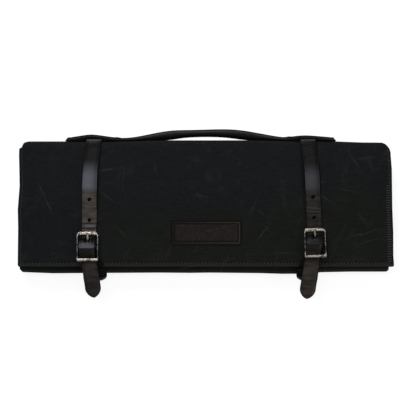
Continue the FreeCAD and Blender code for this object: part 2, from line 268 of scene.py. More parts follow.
def cut_size(surface):
    """Flat width and length of a sheet: the mean length of its surface's lines both ways."""
    steps = (np.linalg.norm(np.diff(surface, axis=way), axis=2).sum(axis=way) for way in (0, 1))
    return tuple(float(lengths.mean()) for lengths in steps)


flap_section = spline([(83.2, 0.8), (83.3, 7), (83.3, 15), (83.2, 22), (82.0, 26.4), (78.0, 28.0),
                       (68.0, 28.7), (50.0, 29.9), (30.0, 31.1), (10.0, 31.6), (-8.0, 30.6), (-24.0, 28.9),
                       (-40.0, 28.1), (-62.0, 28.0), (-76.6, 27.8)], 132)
corner_row = int(np.argmin(np.abs(flap_section[:, 1] - 27.5 * mm)))


def top_corners(y):
    """How far the roll's upper corners are cut back at a height y: the left one in a step where the hem
    ends, the right one in a wide arc."""
    left = np.interp(y / mm, [74.3, 75.2, 80, 81.8, 83.4], [0, 3, 5, 7, 13]) * mm
    share = np.clip((y - (spine_y - 16 * mm)) / (16.5 * mm), 0, 1)
    return left, 15.5 * mm * (1 - np.sqrt(1 - share ** 2))


def flap_sides(y):
    """Left and right edge of the flap at a height y: it flares a little towards its free edge."""
    left = np.interp(y / mm, [-76, -25, -4, 26, 66, 74],
                     [-238.7, -238.1, -238.5, -236.1, -236.8, -236.4]) * mm
    right = np.interp(y / mm, [-76, -63, -33, -2, 48, 66], [240.2, 239.2, 239.1, 237.8, 237.1, 235.6]) * mm
    cut_left, cut_right = top_corners(y)
    low_round = 1.8 * mm * fade(flap_low_y - y, -1.4, 0.7) ** 2
    return left + cut_left + low_round, right - cut_right - low_round


def spine_sway(x, y, z):
    """How far the spine bulges out behind the handle, and draws in towards the right end, at a place x, y,
    z. The bulge is in the spine's upper and lower corner, and the grip swings past the hollow between
    them."""
    sway = np.interp(x / mm, [-110, -45, 45, 120, 165, 200, 240],
                     [-0.1, 1.4, 1.4, 0.2, -0.1, -1.4, -1.7]) * mm
    hollow = np.where(sway > 0, fade(np.abs(z - 14 * mm), 4, 7.5), 1)
    return sway * hollow * fade(y, 45, 78)


def ripple(x, y):
    """Slight unevenness of stiff waxed cloth: three crossed waves of a few centimetres."""
    waves = np.sin(x / (41 * mm) + 1.3) * np.sin(y / (29 * mm) + 0.4)
    waves += 0.5 * np.sin((x - 0.6 * y) / (23 * mm)) + 0.35 * np.sin((x + 1.4 * y) / (13 * mm) + 2)
    return 0.32 * mm * waves


def end_droop(x):
    """The ends of the roll are thinner than its middle."""
    return 3.6 * mm * fade(np.abs(x), 196, 246)


def front_height(x, y):
    """Height of the flap's outer face: its crown below the spine, ripples, thin ends, and the step and the
    rolled rim of the hem."""
    front = flap_section[corner_row:]
    crown = np.interp(-y, -front[:, 0], front[:, 1]) - flap_z
    crown = np.where(crown > 0, crown * (1 - (np.abs(x) / (250 * mm)) ** 6), crown)
    calm = fade(spine_y - y, 2, 30) * fade(y - flap_low_y, -5, 25)
    left, right = flap_sides(y)
    side = np.minimum(x - left, right - x)
    low = y - flap_low_y
    hem = np.maximum(fade(side, 10.5, 7.5), fade(low, 12, 9))
    rim = np.clip(fade(side, 1.6, 0) + fade(low, 1.6, 0), 0, 1)
    sag = end_droop(x) * fade(spine_y - y, 0, 40)
    return flap_z + crown + ripple(x, y) * calm - sag + 0.3 * mm * hem - 0.5 * mm * rim


# The main scuffs on the front: both ends and half the width in millimetres, and the strength.
scuffs = [(-214, 33, -203, 12, 0.9, 0.42), (-205, 14, -193, -11, 1.0, 0.42),
          (-205, 22, -199, -2, 0.8, 0.26), (-17, 15, 6, 12, 1.0, 0.34), (-12, 19, -4, 6, 0.9, 0.22),
          (67, 12, 54, -13, 0.9, 0.42), (64, -2, 79, -14, 0.8, 0.3), (85, -20, 60, -48, 0.9, 0.36),
          (72, -20, 85, -37, 0.8, 0.3), (78, -59, 123, -60, 0.9, 0.26), (170, -43, 230, -27, 1.0, 0.34),
          (186, -51, 226, -38, 0.8, 0.26), (188, 59, 221, 64, 2.6, 0.17), (180, 71, 199, 45, 2.0, 0.16),
          (162, 24, 193, 18, 0.9, 0.25), (193, -6, 208, -27, 0.9, 0.3), (-66, 58, -61, 38, 2.0, 0.13),
          (205, 70, 214, 40, 3.0, 0.14), (-118, -20, -96, -44, 1.4, 0.15)]
# Dark strips of painted shadow on the canvas beside the belts' inner edges, in the same form.
belt_shadow_strips = [(-135.2, 92, -138.2, -34, 4.2, 0.95), (122.8, 92, 126.4, -20, 4.4, 0.7)]


def strokes_along(tree, place, lines):
    """Strokes that fade towards their ends and sides: each is a stretched spherical gradient."""
    marks = 0.0
    for start_x, start_y, end_x, end_y, width, strength in lines:
        wide, high = end_x - start_x, end_y - start_y
        run = add(tree, "Mapping", place, Rotation=(0, 0, math.atan2(high, wide)),
                  Location=((start_x + wide / 2) * mm, (start_y + high / 2) * mm, 0),
                  Scale=(math.hypot(wide, high) / 2 * mm, width * mm, 1), vector_type="TEXTURE")
        spot = add(tree, "TexGradient", run, gradient_type="SPHERICAL")
        spot = add(tree, "Math", spot, strength, operation="MULTIPLY")
        marks = add(tree, "Math", marks, spot, operation="MAXIMUM")
    return marks


wave_period = 0.314  # metres between the bands of a wave texture of scale 1


def woven(tree, place, thread, **links):
    """Plain weave of a thread's width: a wave across and a wave along, multiplied."""
    warp, weft = (add(tree, "TexWave", place, Scale=wave_period / thread, bands_direction=way, **links)
                  for way in ("X", "Y"))
    return add(tree, "Math", warp, weft, operation="MULTIPLY")


def random_scratches(tree, place):
    """Fine scratches four ways: the crests of long waves, kept only in patches."""
    scratches = 0.0
    for turn, scale, bend, seed in ((0.5, 5.5, 1.0, 3.0), (-1.0, 6.5, 1.3, 11.0), (1.35, 4.2, 1.6, 23.0),
                                    (0.05, 6.3, 0.8, 31.0)):
        turned = add(tree, "Mapping", place, Location=(seed, seed / 3, 0), Rotation=(0, 0, turn))
        line = add(tree, "TexWave", turned, Scale=scale, Distortion=bend, Detail=2.0, Detail_Scale=1.2,
                   Detail_Roughness=0.5)
        thin = add(tree, "MapRange", line, From_Min=0.9955, From_Max=1.0)
        patch = add(tree, "TexNoise", turned, Scale=26.0, Detail=4.0)
        kept = add(tree, "MapRange", patch, From_Min=0.56, From_Max=0.7)
        scratch = add(tree, "Math", thin, kept, operation="MULTIPLY")
        scratches = add(tree, "Math", scratches, scratch, operation="MAXIMUM")
    return scratches


def waxed_canvas():
    """Waxed cotton duck, 0.5 mm thread drawn at 1.3 mm so that it shows. The wax leaves it near black and
    cool, and olive where hands have warmed it, with pale scuffs where it has been scraped and patches of
    wax bloom. The attribute front is 1 on the flap's front, where the main scuffs and the painted shadows
    beside the belts go; a second attribute carries a painted highlight along the flap's lower rim and
    the bottom fold."""
    material, tree, shader, place = new_material("waxed_cotton_canvas")
    weave = woven(tree, place, 1.3 * mm, Distortion=0.8, Detail=2.0, Detail_Scale=0.4)
    cloud = add(tree, "TexNoise", place, Scale=9.0, Detail=3.0, Roughness=0.55)
    axes = add(tree, "SeparateXYZ", place)
    lower = add(tree, "MapRange", axes.outputs["Y"], From_Min=28 * mm, From_Max=-22 * mm, To_Max=0.38)
    inner = add(tree, "MapRange", axes.outputs["X"], From_Min=-195 * mm, From_Max=-120 * mm)
    handled = add(tree, "Math", lower, inner, cloud, operation="MULTIPLY_ADD")
    handled = add(tree, "MapRange", handled, From_Min=0.56, From_Max=0.8)
    slub_place = add(tree, "Mapping", place, Scale=(60.0, 700.0, 700.0))
    slub = add(tree, "TexNoise", slub_place, Scale=1.0, Detail=2.0)
    speck = add(tree, "TexNoise", place, Scale=300.0, Detail=3.0, Roughness=0.6)
    uneven = add(tree, "Math", slub, speck, operation="MULTIPLY")
    dust = add(tree, "MapRange", uneven, From_Min=0.2, From_Max=0.42, To_Max=0.2)
    bloom = add(tree, "TexNoise", place, Scale=34.0, Detail=6.0, Roughness=0.7, Distortion=1.2)
    bloom = add(tree, "MapRange", bloom, From_Min=0.55, From_Max=0.75, To_Max=0.65)
    worn = add(tree, "Math", random_scratches(tree, place), bloom, operation="MAXIMUM")
    worn = add(tree, "Math", worn, 0.2, operation="MULTIPLY")
    flat = add(tree, "UVMap", uv_map="UVMap")
    shaken = add(tree, "TexNoise", flat, Scale=55.0, Detail=2.0).outputs["Color"]
    shaken = add(tree, "VectorMath", shaken, (0.5, 0.5, 0.5), operation="SUBTRACT")
    shaken = add(tree, "VectorMath", shaken, (6 * mm, 6 * mm, 0), flat, operation="MULTIPLY_ADD")
    front = add(tree, "Attribute", attribute_name="front")
    # The dark strips beside the belts are painted shadow, kept to the flap's front.
    marks, painted_belt_shadow = (add(tree, "Math", strokes_along(tree, at, lines), front, operation="MULTIPLY")
                      for at, lines in ((shaken, scuffs), (flat, belt_shadow_strips)))
    worn = add(tree, "Math", worn, marks, operation="MAXIMUM")
    # This pale layer is a painted highlight: a line along the flap's lower rim and along the bottom fold.
    painted_edge_highlight = add(tree, "Attribute", attribute_name="painted_edge_highlight")
    rough = add(tree, "MapRange", cloud, To_Min=0.66, To_Max=0.8)
    dress(tree, shader, "#0f1113", [(handled, "#111310"), (dust, "#25282a"), (worn, "#3b4043"),
                                    (painted_edge_highlight, "#2b2a27"), (painted_belt_shadow, "#020203")],
          [(weave, 0.6, 0.2), (uneven, 0.3, 0.4)], {"Roughness": rough, "Specular IOR Level": 0.06})
    return material


def paint(piece, name, value):
    """Write one number per point into a named attribute, which a material reads."""
    layer = piece.data.attributes.new(name, "FLOAT", "POINT")
    layer.data.foreach_set("value", np.asarray(value, np.float32).ravel())


def plain_cotton():
    """Plain woven cotton lining, dyed charcoal: an even 1 mm weave, matte, a little lint."""
    material, tree, shader, place = new_material("woven_cotton_lining")
    weave = woven(tree, place, 1.0 * mm, Distortion=0.4)
    lint = add(tree, "TexNoise", place, Scale=40.0, Detail=5.0)
    lint = add(tree, "MapRange", lint, From_Min=0.3, From_Max=0.7)
    dress(tree, shader, "#2b2c2e", [(lint, "#35373a")], [(weave, 0.6, 0.2)],
          {"Roughness": 0.9, "Specular IOR Level": 0.2})
    return material


canvas_material = waxed_canvas()
lining_material = plain_cotton()


def flap_surface(section, inset):
    """Flap as a function of the share across it and the place along its section. inset pulls its sides
    in."""
    share = np.linspace(0, 1, 236)[:, None]
    share = 0.35 * (0.5 - 0.5 * np.cos(share * math.pi)) + 0.65 * share
    y, z = section[:, 0], section[:, 1]
    left, right = flap_sides(y)
    x = left + inset + (right - left - 2 * inset) * share
    x, y, z = np.broadcast_arrays(x, y, z)
    seat = smooth(np.arange(len(section)) / corner_row, 0.85, 1.15)
    z = front_height(x, y) * seat + z * (1 - seat)
    return join(x, y + spine_sway(x, y, z), z)


flap_face = flap_surface(flap_section, 0)[:, ::-1]
flap = cloth("flap_canvas", flap_face, canvas_thick, canvas_material)
flap_front = 1.0 * (flap_face[..., 2] > 20 * mm)
# A painted highlight along the flap's rolled lower rim, on its front only.
flap_rim_highlight = 0.55 * smooth(flap_face[..., 1] - flap_low_y, 2.9 * mm, 2.3 * mm) * flap_front
paint(flap, "painted_edge_highlight", [flap_rim_highlight, 0.5 * flap_rim_highlight])
paint(flap, "front", [flap_front, 0 * flap_front])
cut_size(flap_face)
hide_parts("front_flap", "flap_lower_edge", "spine_panel")
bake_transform(flap)

lining_rows = flap_section[(flap_section[:, 0] > flap_low_y + 12 * mm) & (flap_section[:, 1] > 3.2 * mm)]
lining_face = flap_surface(lining_rows, 7 * mm)[:, ::-1]
lining_face = lining_face - facing(lining_face) * (canvas_thick + 0.1 * mm)
flap_lining = cloth("flap_lining_cotton", lining_face, lining_thick, lining_material)
cut_size(lining_face)
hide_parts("flap_lining")
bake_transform(flap_lining)


def sewing_thread():
    """Waxed polyester thread, three-ply and black: a faint twist and a soft gloss."""
    material, tree, shader, place = new_material("waxed_sewing_thread")
    twist = add(tree, "TexWave", place, Scale=wave_period / (0.5 * mm), bands_direction="DIAGONAL")
    dress(tree, shader, "#1c1e20", [(twist, "#393c3f")], [(twist, 0.5, 0.1)],
          {"Roughness": 0.55, "Specular IOR Level": 0.3})
    return material


def circle(count):
    """Even angles once round."""
    return np.linspace(0, 2 * math.pi, count, endpoint=False)


def stitches(name, rows, size):
    """Rows of sewn stitches. Each is an ellipsoid of a length, width and height, set on the cloth along the
    seam: point = centre + along * x + side * y + normal * z for the points of one ellipsoid of 6 by 6
    parts."""
    centre, along, normal = (np.concatenate(parts) for parts in zip(*rows))
    turn = circle(6)
    rise = np.linspace(0, math.pi, 6)[1:-1, None]
    rings = join(np.cos(rise), np.sin(rise) * np.cos(turn), np.sin(rise) * np.sin(turn)).reshape(-1, 3)
    shape = np.concatenate([rings, [(1, 0, 0), (-1, 0, 0)]]) * np.array(size) / 2
    ring = np.arange(6)
    after = (ring + 1) % 6
    quads = np.concatenate([np.stack([ring, after, after + 6, ring + 6], axis=1) + 6 * k for k in range(3)])
    near, far = join(ring, after, 24), join(ring + 18, after + 18, 25)
    axes = np.stack([along, np.cross(normal, along), normal], axis=1)
    points = centre[:, None, :] + np.einsum("kp,nkj->npj", shape.T, axes)
    shift = (np.arange(len(centre)) * len(shape))[:, None, None]
    groups = [(group[None] + shift).reshape(-1, group.shape[1]) for group in (quads, near, far)]
    return close_mesh(name, points, groups, thread_material)


def seam(path, pitch, height):
    """Even places along a path on a surface height(x, y), with the path's direction and the surface
    normal."""
    path = np.asarray(path, float)
    along = length_along(path)
    at = np.arange(pitch / 2, along[-1], pitch)
    x, y = (np.interp(at, along, path[:, k]) for k in (0, 1))
    step = 0.4 * mm
    slope_x = (height(x + step, y) - height(x - step, y)) / (2 * step)
    slope_y = (height(x, y + step) - height(x, y - step)) / (2 * step)
    normal = unit(join(-slope_x, -slope_y, 1))
    ahead = join(np.gradient(x), np.gradient(y), 0)
    ahead = unit(ahead - normal * (ahead * normal).sum(axis=1, keepdims=True))
    return join(x, y, height(x, y)), ahead, normal


thread_material = sewing_thread()
stitch_pitch = 3.0 * mm
hem_inset = 3.8 * mm
hem_y = np.linspace(72 * mm, flap_low_y + hem_inset, 60)
left_edge, right_edge = flap_sides(hem_y)
hem_ends = [(left_edge[-1] + hem_inset, hem_y[-1]), (right_edge[-1] - hem_inset, hem_y[-1])]
hem_rows = [seam(join(left_edge + hem_inset, hem_y), stitch_pitch, front_height),
            seam(hem_ends, 4.4 * mm, front_height)]
hem_stitches = stitches("hem_stitches", hem_rows, (2.0 * mm, 0.8 * mm, 0.5 * mm))
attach(hem_stitches, "flap")
for part, rows, length in (("upper", slice(0, 19), 2.6 * mm), ("lower", slice(18, 60), 6.0 * mm)):
    place, along, normal = seam(join(right_edge - 2.0 * mm - length / 2, hem_y)[rows], 3.1 * mm,
                                front_height)
    whips = stitches("whip_stitches_" + part, [(place, np.cross(along, normal), normal)],
                     (length, 1.0 * mm, 0.6 * mm))
    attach(whips, "flap")


# ---- Canvas body -------------------------------------------------------------------------------
# A second piece of the same canvas makes the back, turns up at the rounded bottom and forms the fronts of
# ten pockets. Canvas walls part the pockets, a cotton lining covers the back, and tape binds the pocket
# mouths.
mouth_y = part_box("pocket_panel")[1][1]
low_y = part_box("bottom_fold")[0][1]
pocket_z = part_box("pocket_panel")[1][2]
wall_count = 11
wall_pitch = (2 * body_half - 2.4 * mm) / (wall_count - 1)
wall_x = -body_half + 1.2 * mm + wall_pitch * np.arange(wall_count)

roll_section = spline([(82.9, 0.2), (70, 0.05), (40, 0.0), (0, 0.0), (-40, 0.0), (-66, 0.0), (-76, 0.6),
                       (-82.2, 4.0), (-83.6, 12.5), (-82.4, 20.5), (-76, 24.2), (-66, 24.6), (-40, 24.5),
                       (-10, 24.4), (16.5, 24.3)], 170)


def pocket_swell(x, y):
    """Each pocket's front rises between its walls and dips at the seams over them."""
    across = (x - wall_x[0]) / wall_pitch
    dip = 1 - np.abs(np.sin(math.pi * across)) ** 0.55
    return -1.1 * mm * dip * fade(y - low_y, 8, 30)


def pocket_height(x, y):
    """Height of the pockets' outer face."""
    return pocket_z - 0.2 * mm + pocket_swell(x, y) - end_droop(x)


def bottom_bulge(x):
    """How far the filled pockets push the rounded bottom out along the roll."""
    return np.interp(x / mm, [-235, -195, -60, -19, 5, 70, 98, 115, 150, 185],
                     [0.5, 2.05, 1.25, 1.6, 1.25, 1.9, 2.8, 2.7, 0.7, 0]) * mm


def roll_surface(section):
    """Back, bottom and pocket fronts as a function of the share across and the place along the section."""
    y, z = section[:, 0], section[:, 1]
    cut_left, cut_right = top_corners(y)
    wide = fade(-y, 20, 70)
    left, right = -body_half + cut_left - 4.3 * mm * wide, body_half - cut_right + 1.4 * mm * wide
    x = left + (right - left) * np.linspace(0, 1, 281)[:, None]
    x, y, z = np.broadcast_arrays(x, y, z)
    end = np.minimum(x - left, right - x)
    low = fade(-y, 60, 82)
    tuck = np.where(x < 0, 3.4, 2.2) * mm * smooth(end, np.where(x < 0, 4.6, 3.5) * mm, 0) ** 2 * low
    upper = fade(z, 8, 22)
    return join(x, y + tuck + spine_sway(x, y, z) - bottom_bulge(x) * low,
                z + upper * (pocket_swell(x, y) - end_droop(x)))


roll_face = roll_surface(roll_section)
roll = cloth("roll_canvas", roll_face, canvas_thick, canvas_material)
fold_row = np.argmin(np.abs(roll_section[:, 0] + 80.6 * mm) + (roll_section[:, 1] < 14 * mm))
rows_off = np.arange(len(roll_section)) - fold_row
# A painted highlight along the rounded bottom fold.
fold_highlight = 0.75 * np.exp(-(rows_off / 0.55) ** 2) + 0 * roll_face[..., 0]
paint(roll, "painted_edge_highlight", [fold_highlight, 0 * fold_highlight])
cut_size(roll_face)
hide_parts("back_panel", "bottom_fold", "pocket_panel")
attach(roll, "roll_body")

back_share, back_y = np.meshgrid(np.linspace(0, 1, 160), np.linspace(81 * mm, -71 * mm, 70), indexing="ij")
back_left, back_right = top_corners(back_y)
back_x = -body_half + 2 * mm + back_left + (2 * body_half - 4 * mm - back_left - back_right) * back_share
back_face = join(back_x, back_y, 2.75 * mm + 0.4 * ripple(back_x, back_y))
back_lining = cloth("back_lining_cotton", back_face[:, ::-1], lining_thick, lining_material)
cut_size(back_face)
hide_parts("back_lining")
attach(back_lining, "roll_body")


def pocket_wall(index):
    """Upright wall of canvas between two pockets: a sheet across y and z that waves a little along its
    length and follows the rounded bottom."""
    share_y, share_z = np.linspace(0, 1, 40)[:, None], np.linspace(0, 1, 9)
    x0 = float(np.clip(wall_x[index], -body_half + 1.3 * mm, body_half - 1.3 * mm))
    y = mouth_y + (-79.5 * mm - mouth_y) * share_y
    round_in = 1 - np.sqrt(np.clip(1 - fade(-y, 66, 80) ** 2, 0, 1))
    low = 3.0 * mm + 5.5 * mm * round_in
    high = float(pocket_height(np.array(x0), np.array(0.0))) - canvas_thick - 5.0 * mm * round_in
    wave = 0.9 * mm * np.sin(share_z * math.pi) * np.sin(y / (17 * mm) + index)
    keep_in = {0: 0.9 * mm, wall_count - 1: -0.9 * mm}.get(index, 0)
    face = join(x0 + wave + keep_in, y, low + (high - low) * share_z)
    made = cloth(f"pocket_wall_{index + 1}", face, 1.0 * mm, canvas_material, slice(1, 3))
    cut_size(face)
    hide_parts("pocket_seams")
    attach(made, "roll_body")


for wall in range(wall_count):
    pocket_wall(wall)

seam_y = np.linspace(mouth_y - 2 * mm, low_y + 10 * mm, 30)
seam_rows = [seam(join(x + side, seam_y), stitch_pitch, pocket_height)
             for x in wall_x for side in (-1.2 * mm, 1.2 * mm) if abs(x + side) < body_half - 0.6 * mm]
seam_stitches = stitches("pocket_seam_stitches", seam_rows, (2.3 * mm, 0.7 * mm, 0.5 * mm))
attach(seam_stitches, "roll_body")


def binding_twill():
    """Cotton twill binding tape, charcoal: diagonal ribs 1.2 mm apart and a slightly lighter worn ridge."""
    material, tree, shader, place = new_material("cotton_twill_binding")
    rib = add(tree, "TexWave", place, Scale=wave_period / (1.2 * mm), Distortion=0.4,
              bands_direction="DIAGONAL")
    lint = add(tree, "TexNoise", place, Scale=60.0, Detail=4.0)
    ridge = add(tree, "Math", rib, lint, operation="MULTIPLY")
    dress(tree, shader, "#202123", [(ridge, "#3c3d40")], [(rib, 0.5, 0.2)],
          {"Roughness": 0.8, "Specular IOR Level": 0.25})
    return material


tape_section = spline([(-9, 0.35), (-5, 0.4), (0.6, 0.45), (2.9, -0.1), (2.9, -1.9), (0.6, -2.5),
                       (-5, -2.45), (-9, -2.4)], 48)
tape_x = np.linspace(-body_half + 0.2 * mm, body_half - 0.2 * mm, 281)[:, None]
tape_y = mouth_y + tape_section[:, 0]
tape_face = join(tape_x, tape_y, pocket_height(tape_x, tape_y) + tape_section[:, 1] + 0.25 * mm)
tape = cloth("pocket_mouth_tape", tape_face, 0.55 * mm, binding_twill())
cut_size(tape_face)
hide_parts("pocket_mouth_binding")
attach(tape, "roll_body")
tape_row = seam(join(tape_x[:, 0], mouth_y - 7 * mm), stitch_pitch,
                lambda x, y: pocket_height(x, y) + 0.6 * mm)
tape_stitches = stitches("pocket_mouth_stitches", [tape_row], (2.3 * mm, 0.7 * mm, 0.5 * mm))
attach(tape_stitches, "roll_body")


# ---- Belts -------------------------------------------------------------------------------------
# Two belts of black bridle leather, 19 mm wide, are sewn to the back, led over the spine and down the
# front, and thread the buckles. Their edges are creased and burnished, and they have wrinkled where they
# are pulled tight.
belt_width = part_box("strap_left_top")[1][0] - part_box("strap_left_top")[0][0] + 0.4 * mm
belt_thick = 2.8 * mm
# For each belt, its sheen and crest values are the strengths of painted highlights: a broad one on the
# front run and a band on the crest over the bar.
belts = {
    "left": dict(
        top_x=-141.0 * mm, buckle=(-149.4 * mm, -50.5 * mm), turn=0.0, base_x=-136 * mm, tip_y=-115.4 * mm,
        seed=0.0, painted_sheen=1.0, crest=0.8, worn=0.58, tail=0.18, folds=(-26.5, 7.0, 1.0), hole_shift=-0.6 * mm,
        line=[(90, -141.0), (80, -141.4), (53, -145.7), (30, -146.8), (10, -147.0), (-10, -147.0),
              (-26, -147.2), (-33, -147.7), (-41, -150.2), (-54, -150.7), (-68, -148.2), (-86, -144.7),
              (-102, -142.6), (-117, -141.0)]),
    "right": dict(
        top_x=129.8 * mm, buckle=(139.3 * mm, -45.9 * mm), turn=2.0, base_x=126.5 * mm, tip_y=-117.0 * mm,
        seed=2.4, painted_sheen=0.42, crest=0.1, worn=0.2, tail=0.27, folds=(-5.5, 5.0, 0.6), hole_shift=-2.0 * mm,
        line=[(90, 129.8), (80, 130.6), (60, 133.8), (40, 135.6), (12, 136.6), (-16, 138.0), (-46, 138.9),
              (-66, 135.4), (-80, 134.0), (-94, 131.4), (-108, 129.5), (-118, 128.2)]),
}
frame_width, frame_height = 28.2 * mm, 37.8 * mm
bar_z = 34.45 * mm
# In millimetres: how far the frame's openings reach above and below its bar, and the levels of the centre
# of a belt on the back and at the top of the flap.
window_top, window_low = 13.9, 15.1
back_z, front_z = -1.7, 29.95
# Above the bar: the hole that the prong stands in, and the two free ones in millimetres.
prong_hole, free_holes = 8.1 * mm, (33.9, 60.1)
hole_radius = 2.25 * mm


def bridle_leather(name, dark, light, shine, spread, highlight_tone="#4c4d54"):
    """Black bridle leather, drum-dyed, waxed and rubbed: fine pebbled grain of 0.9 mm, faint wrinkles
    across the strap, brown showing through where the attribute bare is 1, a pale bluish painted highlight
    where the strap should shine, and burnished edges that are darker; on the handle that dark also
    stands for painted shade."""
    material, tree, shader, place = new_material(name)
    edge, painted_highlight, bare = (add(tree, "Attribute", attribute_name=key) for key in ("edge", "painted_highlight", "bare"))
    pores = add(tree, "TexVoronoi", place, Scale=1 / (0.9 * mm), Randomness=1.0)
    cloud = add(tree, "TexNoise", place, Scale=38.0, Detail=4.0, Roughness=0.6)
    wrinkle = add(tree, "Mapping", place, Scale=(60.0, 260.0, 260.0))
    wrinkle = add(tree, "TexNoise", wrinkle, Scale=1.0, Detail=3.0, Distortion=0.8)
    worn = add(tree, "MapRange", cloud, From_Min=0.42, From_Max=0.68)
    streak = add(tree, "MapRange", wrinkle, From_Min=0.5, From_Max=0.8, To_Max=0.3)
    creased = add(tree, "MapRange", wrinkle, From_Min=0.36, From_Max=0.6, To_Min=0.55, To_Max=1.2)
    bare = add(tree, "Math", bare, creased, operation="MULTIPLY", use_clamp=True)
    rough = add(tree, "MapRange", cloud, From_Min=0.3, From_Max=0.7, To_Min=spread - 0.07,
                To_Max=spread + 0.07)
    rough = add(tree, "Math", edge, 0.5, rough, operation="MULTIPLY_ADD", use_clamp=True)
    dress(tree, shader, dark,
          [(worn, light), (streak, "#2a2724"), (bare, "#4a433d"), (painted_highlight, highlight_tone), (edge, "#050505")],
          [(pores, 0.35, 0.12), (wrinkle, 0.5, 0.5)], {"Roughness": rough, "Specular IOR Level": shine})
    return material


belt_leather = bridle_leather("black_bridle_leather", "#050505", "#0a0909", 0.11, 0.46)
# A darker copy of the belt leather for the lower straps: painted shade, as they lie in shadow below the
# buckles.
shaded_strap_leather = bridle_leather("black_strap_leather_painted_shade", "#020202", "#040404", 0.05, 0.55)


def tube(shape):
    """Quads between rings of points, and their indices. The shape is the rings and the points in each."""
    index = np.arange(shape[0] * shape[1]).reshape(shape[:2])
    after = np.roll(index, -1, axis=1)
    return np.stack([index[:-1], after[:-1], after[1:], index[1:]], axis=-1).reshape(-1, 4), index


def tipped_tube(shape):
    """Faces of a tube whose ends are drawn to one point each, two points that follow the rings."""
    quads, index = tube(shape)
    after = np.roll(index, -1, axis=1)
    return [quads, join(after[0], index[0], index.size), join(index[-1], after[-1], index.size + 1)]


def path_axes(centre, side):
    """Side and normal of a strip at each point of its path, square to the path's direction."""
    along = unit(np.gradient(centre, axis=0))
    side = unit(side - along * (side * along).sum(axis=1, keepdims=True))
    return side, np.cross(side, along)


def swept(centre, axes, u, v):
    """Points beside a path, by u along its side and by v along its normal."""
    return centre[:, None] + axes[0][:, None] * u[..., None] + axes[1][:, None] * v[..., None]


def leather_strip(name, centre, side, width, thick, material, bow=0.0, relief=None):
    """Strip of leather swept along a path. Its section is a rectangle with round edges and a slightly domed
    face, with a creased line beside each edge: point = centre + side * u + normal * v. Where it faces -Y it
    bows back by bow * (u / half width) ** 2, and relief(x, y) is added to v on the upper face. Both ends
    are closed."""
    axes = path_axes(centre, side)
    half = np.broadcast_to(np.asarray(width, float) / 2, len(centre))[:, None]
    deep = thick / 2
    bend = np.minimum(0.9 * deep, 0.8 * half)
    line = np.minimum(1.8 * mm, 0.55 * half) - bend
    flat = half - bend
    in_from_edge = [0 * half, 0.5 * line, line - 0.25 * mm, line, line + 0.25 * mm, 0.45 * flat, flat]
    in_from_edge = np.clip(np.concatenate(in_from_edge, axis=1), 0, flat)
    right = flat - np.maximum.accumulate(in_from_edge, axis=1)
    groove = np.array([0, 0, 0, -0.28, 0, 0, 0]) * mm
    rise = deep + groove + 0.2 * mm * (1 - (right / half) ** 2)
    turn = np.linspace(0, math.pi, 9)
    edge_u, edge_v = flat + bend * np.sin(turn), deep * np.cos(turn) + 0 * half
    low = flat * (0.5, 0.0, -0.5)
    u = np.concatenate([-right, right[:, -2::-1], edge_u[:, 1:], low, -edge_u[:, :0:-1]], axis=1)
    v = np.concatenate([rise, rise[:, -2::-1], edge_v[:, 1:], 0 * low - deep, edge_v[:, :0:-1]], axis=1)
    v = v - bow * smooth(-axes[1][:, 1:2], 0.3, 0.95) * (u / half) ** 2
    if relief:
        level = swept(centre, axes, u, 0 * v)
        v = v + relief(level[..., 0], level[..., 1]) * smooth(v, 0, deep)
    points = np.concatenate([swept(centre, axes, u, v).reshape(-1, 3), centre[:1], centre[-1:]])
    uv = np.concatenate([join(length_along(centre)[:, None], u).reshape(-1, 2), np.zeros((2, 2))])
    made = close_mesh(name, points, tipped_tube(u.shape), material, uv)
    paint(made, "edge", np.append(smooth(np.abs(u), half - 0.9 * mm, half - 0.3 * mm), [1, 1]))
    return made


def bore(piece, cutters):
    """Cut holes through a piece with other meshes, which are then removed."""
    for cutter in cutters:
        cut = piece.modifiers.new("hole", "BOOLEAN")
        cut.operation, cut.solver, cut.object = "DIFFERENCE", "EXACT", cutter
    bpy.context.view_layer.update()
    cut_mesh = bpy.data.meshes.new_from_object(piece.evaluated_get(bpy.context.evaluated_depsgraph_get()))
    piece.modifiers.clear()
    old, piece.data = piece.data, cut_mesh
    for spent in [old] + [cutter.data for cutter in cutters]:
        bpy.data.meshes.remove(spent)


def plug(x, y, radius, stretch, low=20 * mm):
    """Upright oval cylinder, used to punch a hole. It is stretched along Y and starts at the level low."""
    turn = circle(24)
    ring = join(x + radius * np.cos(turn), y + radius * stretch * np.sin(turn))
    quads, index = tube((2, 24))
    points = np.concatenate([np.c_[ring, 0 * turn + low], np.c_[ring, 0 * turn + 60 * mm]])
    return close_mesh("punch", points, [quads, np.stack([index[0, ::-1], index[1]])], belt_leather)


def belt_line_x(belt, y):
    """Centre of a belt at a height y, from its line of points."""
    line = spline(belt["line"], 120)
    return np.interp(-np.asarray(y), -line[:, 0], line[:, 1])


def points_of(piece):
    """Coordinates of a piece's points."""
    points = np.empty(3 * len(piece.data.vertices), np.float32)
    piece.data.vertices.foreach_get("co", points)
    return points.reshape(-1, 3).T


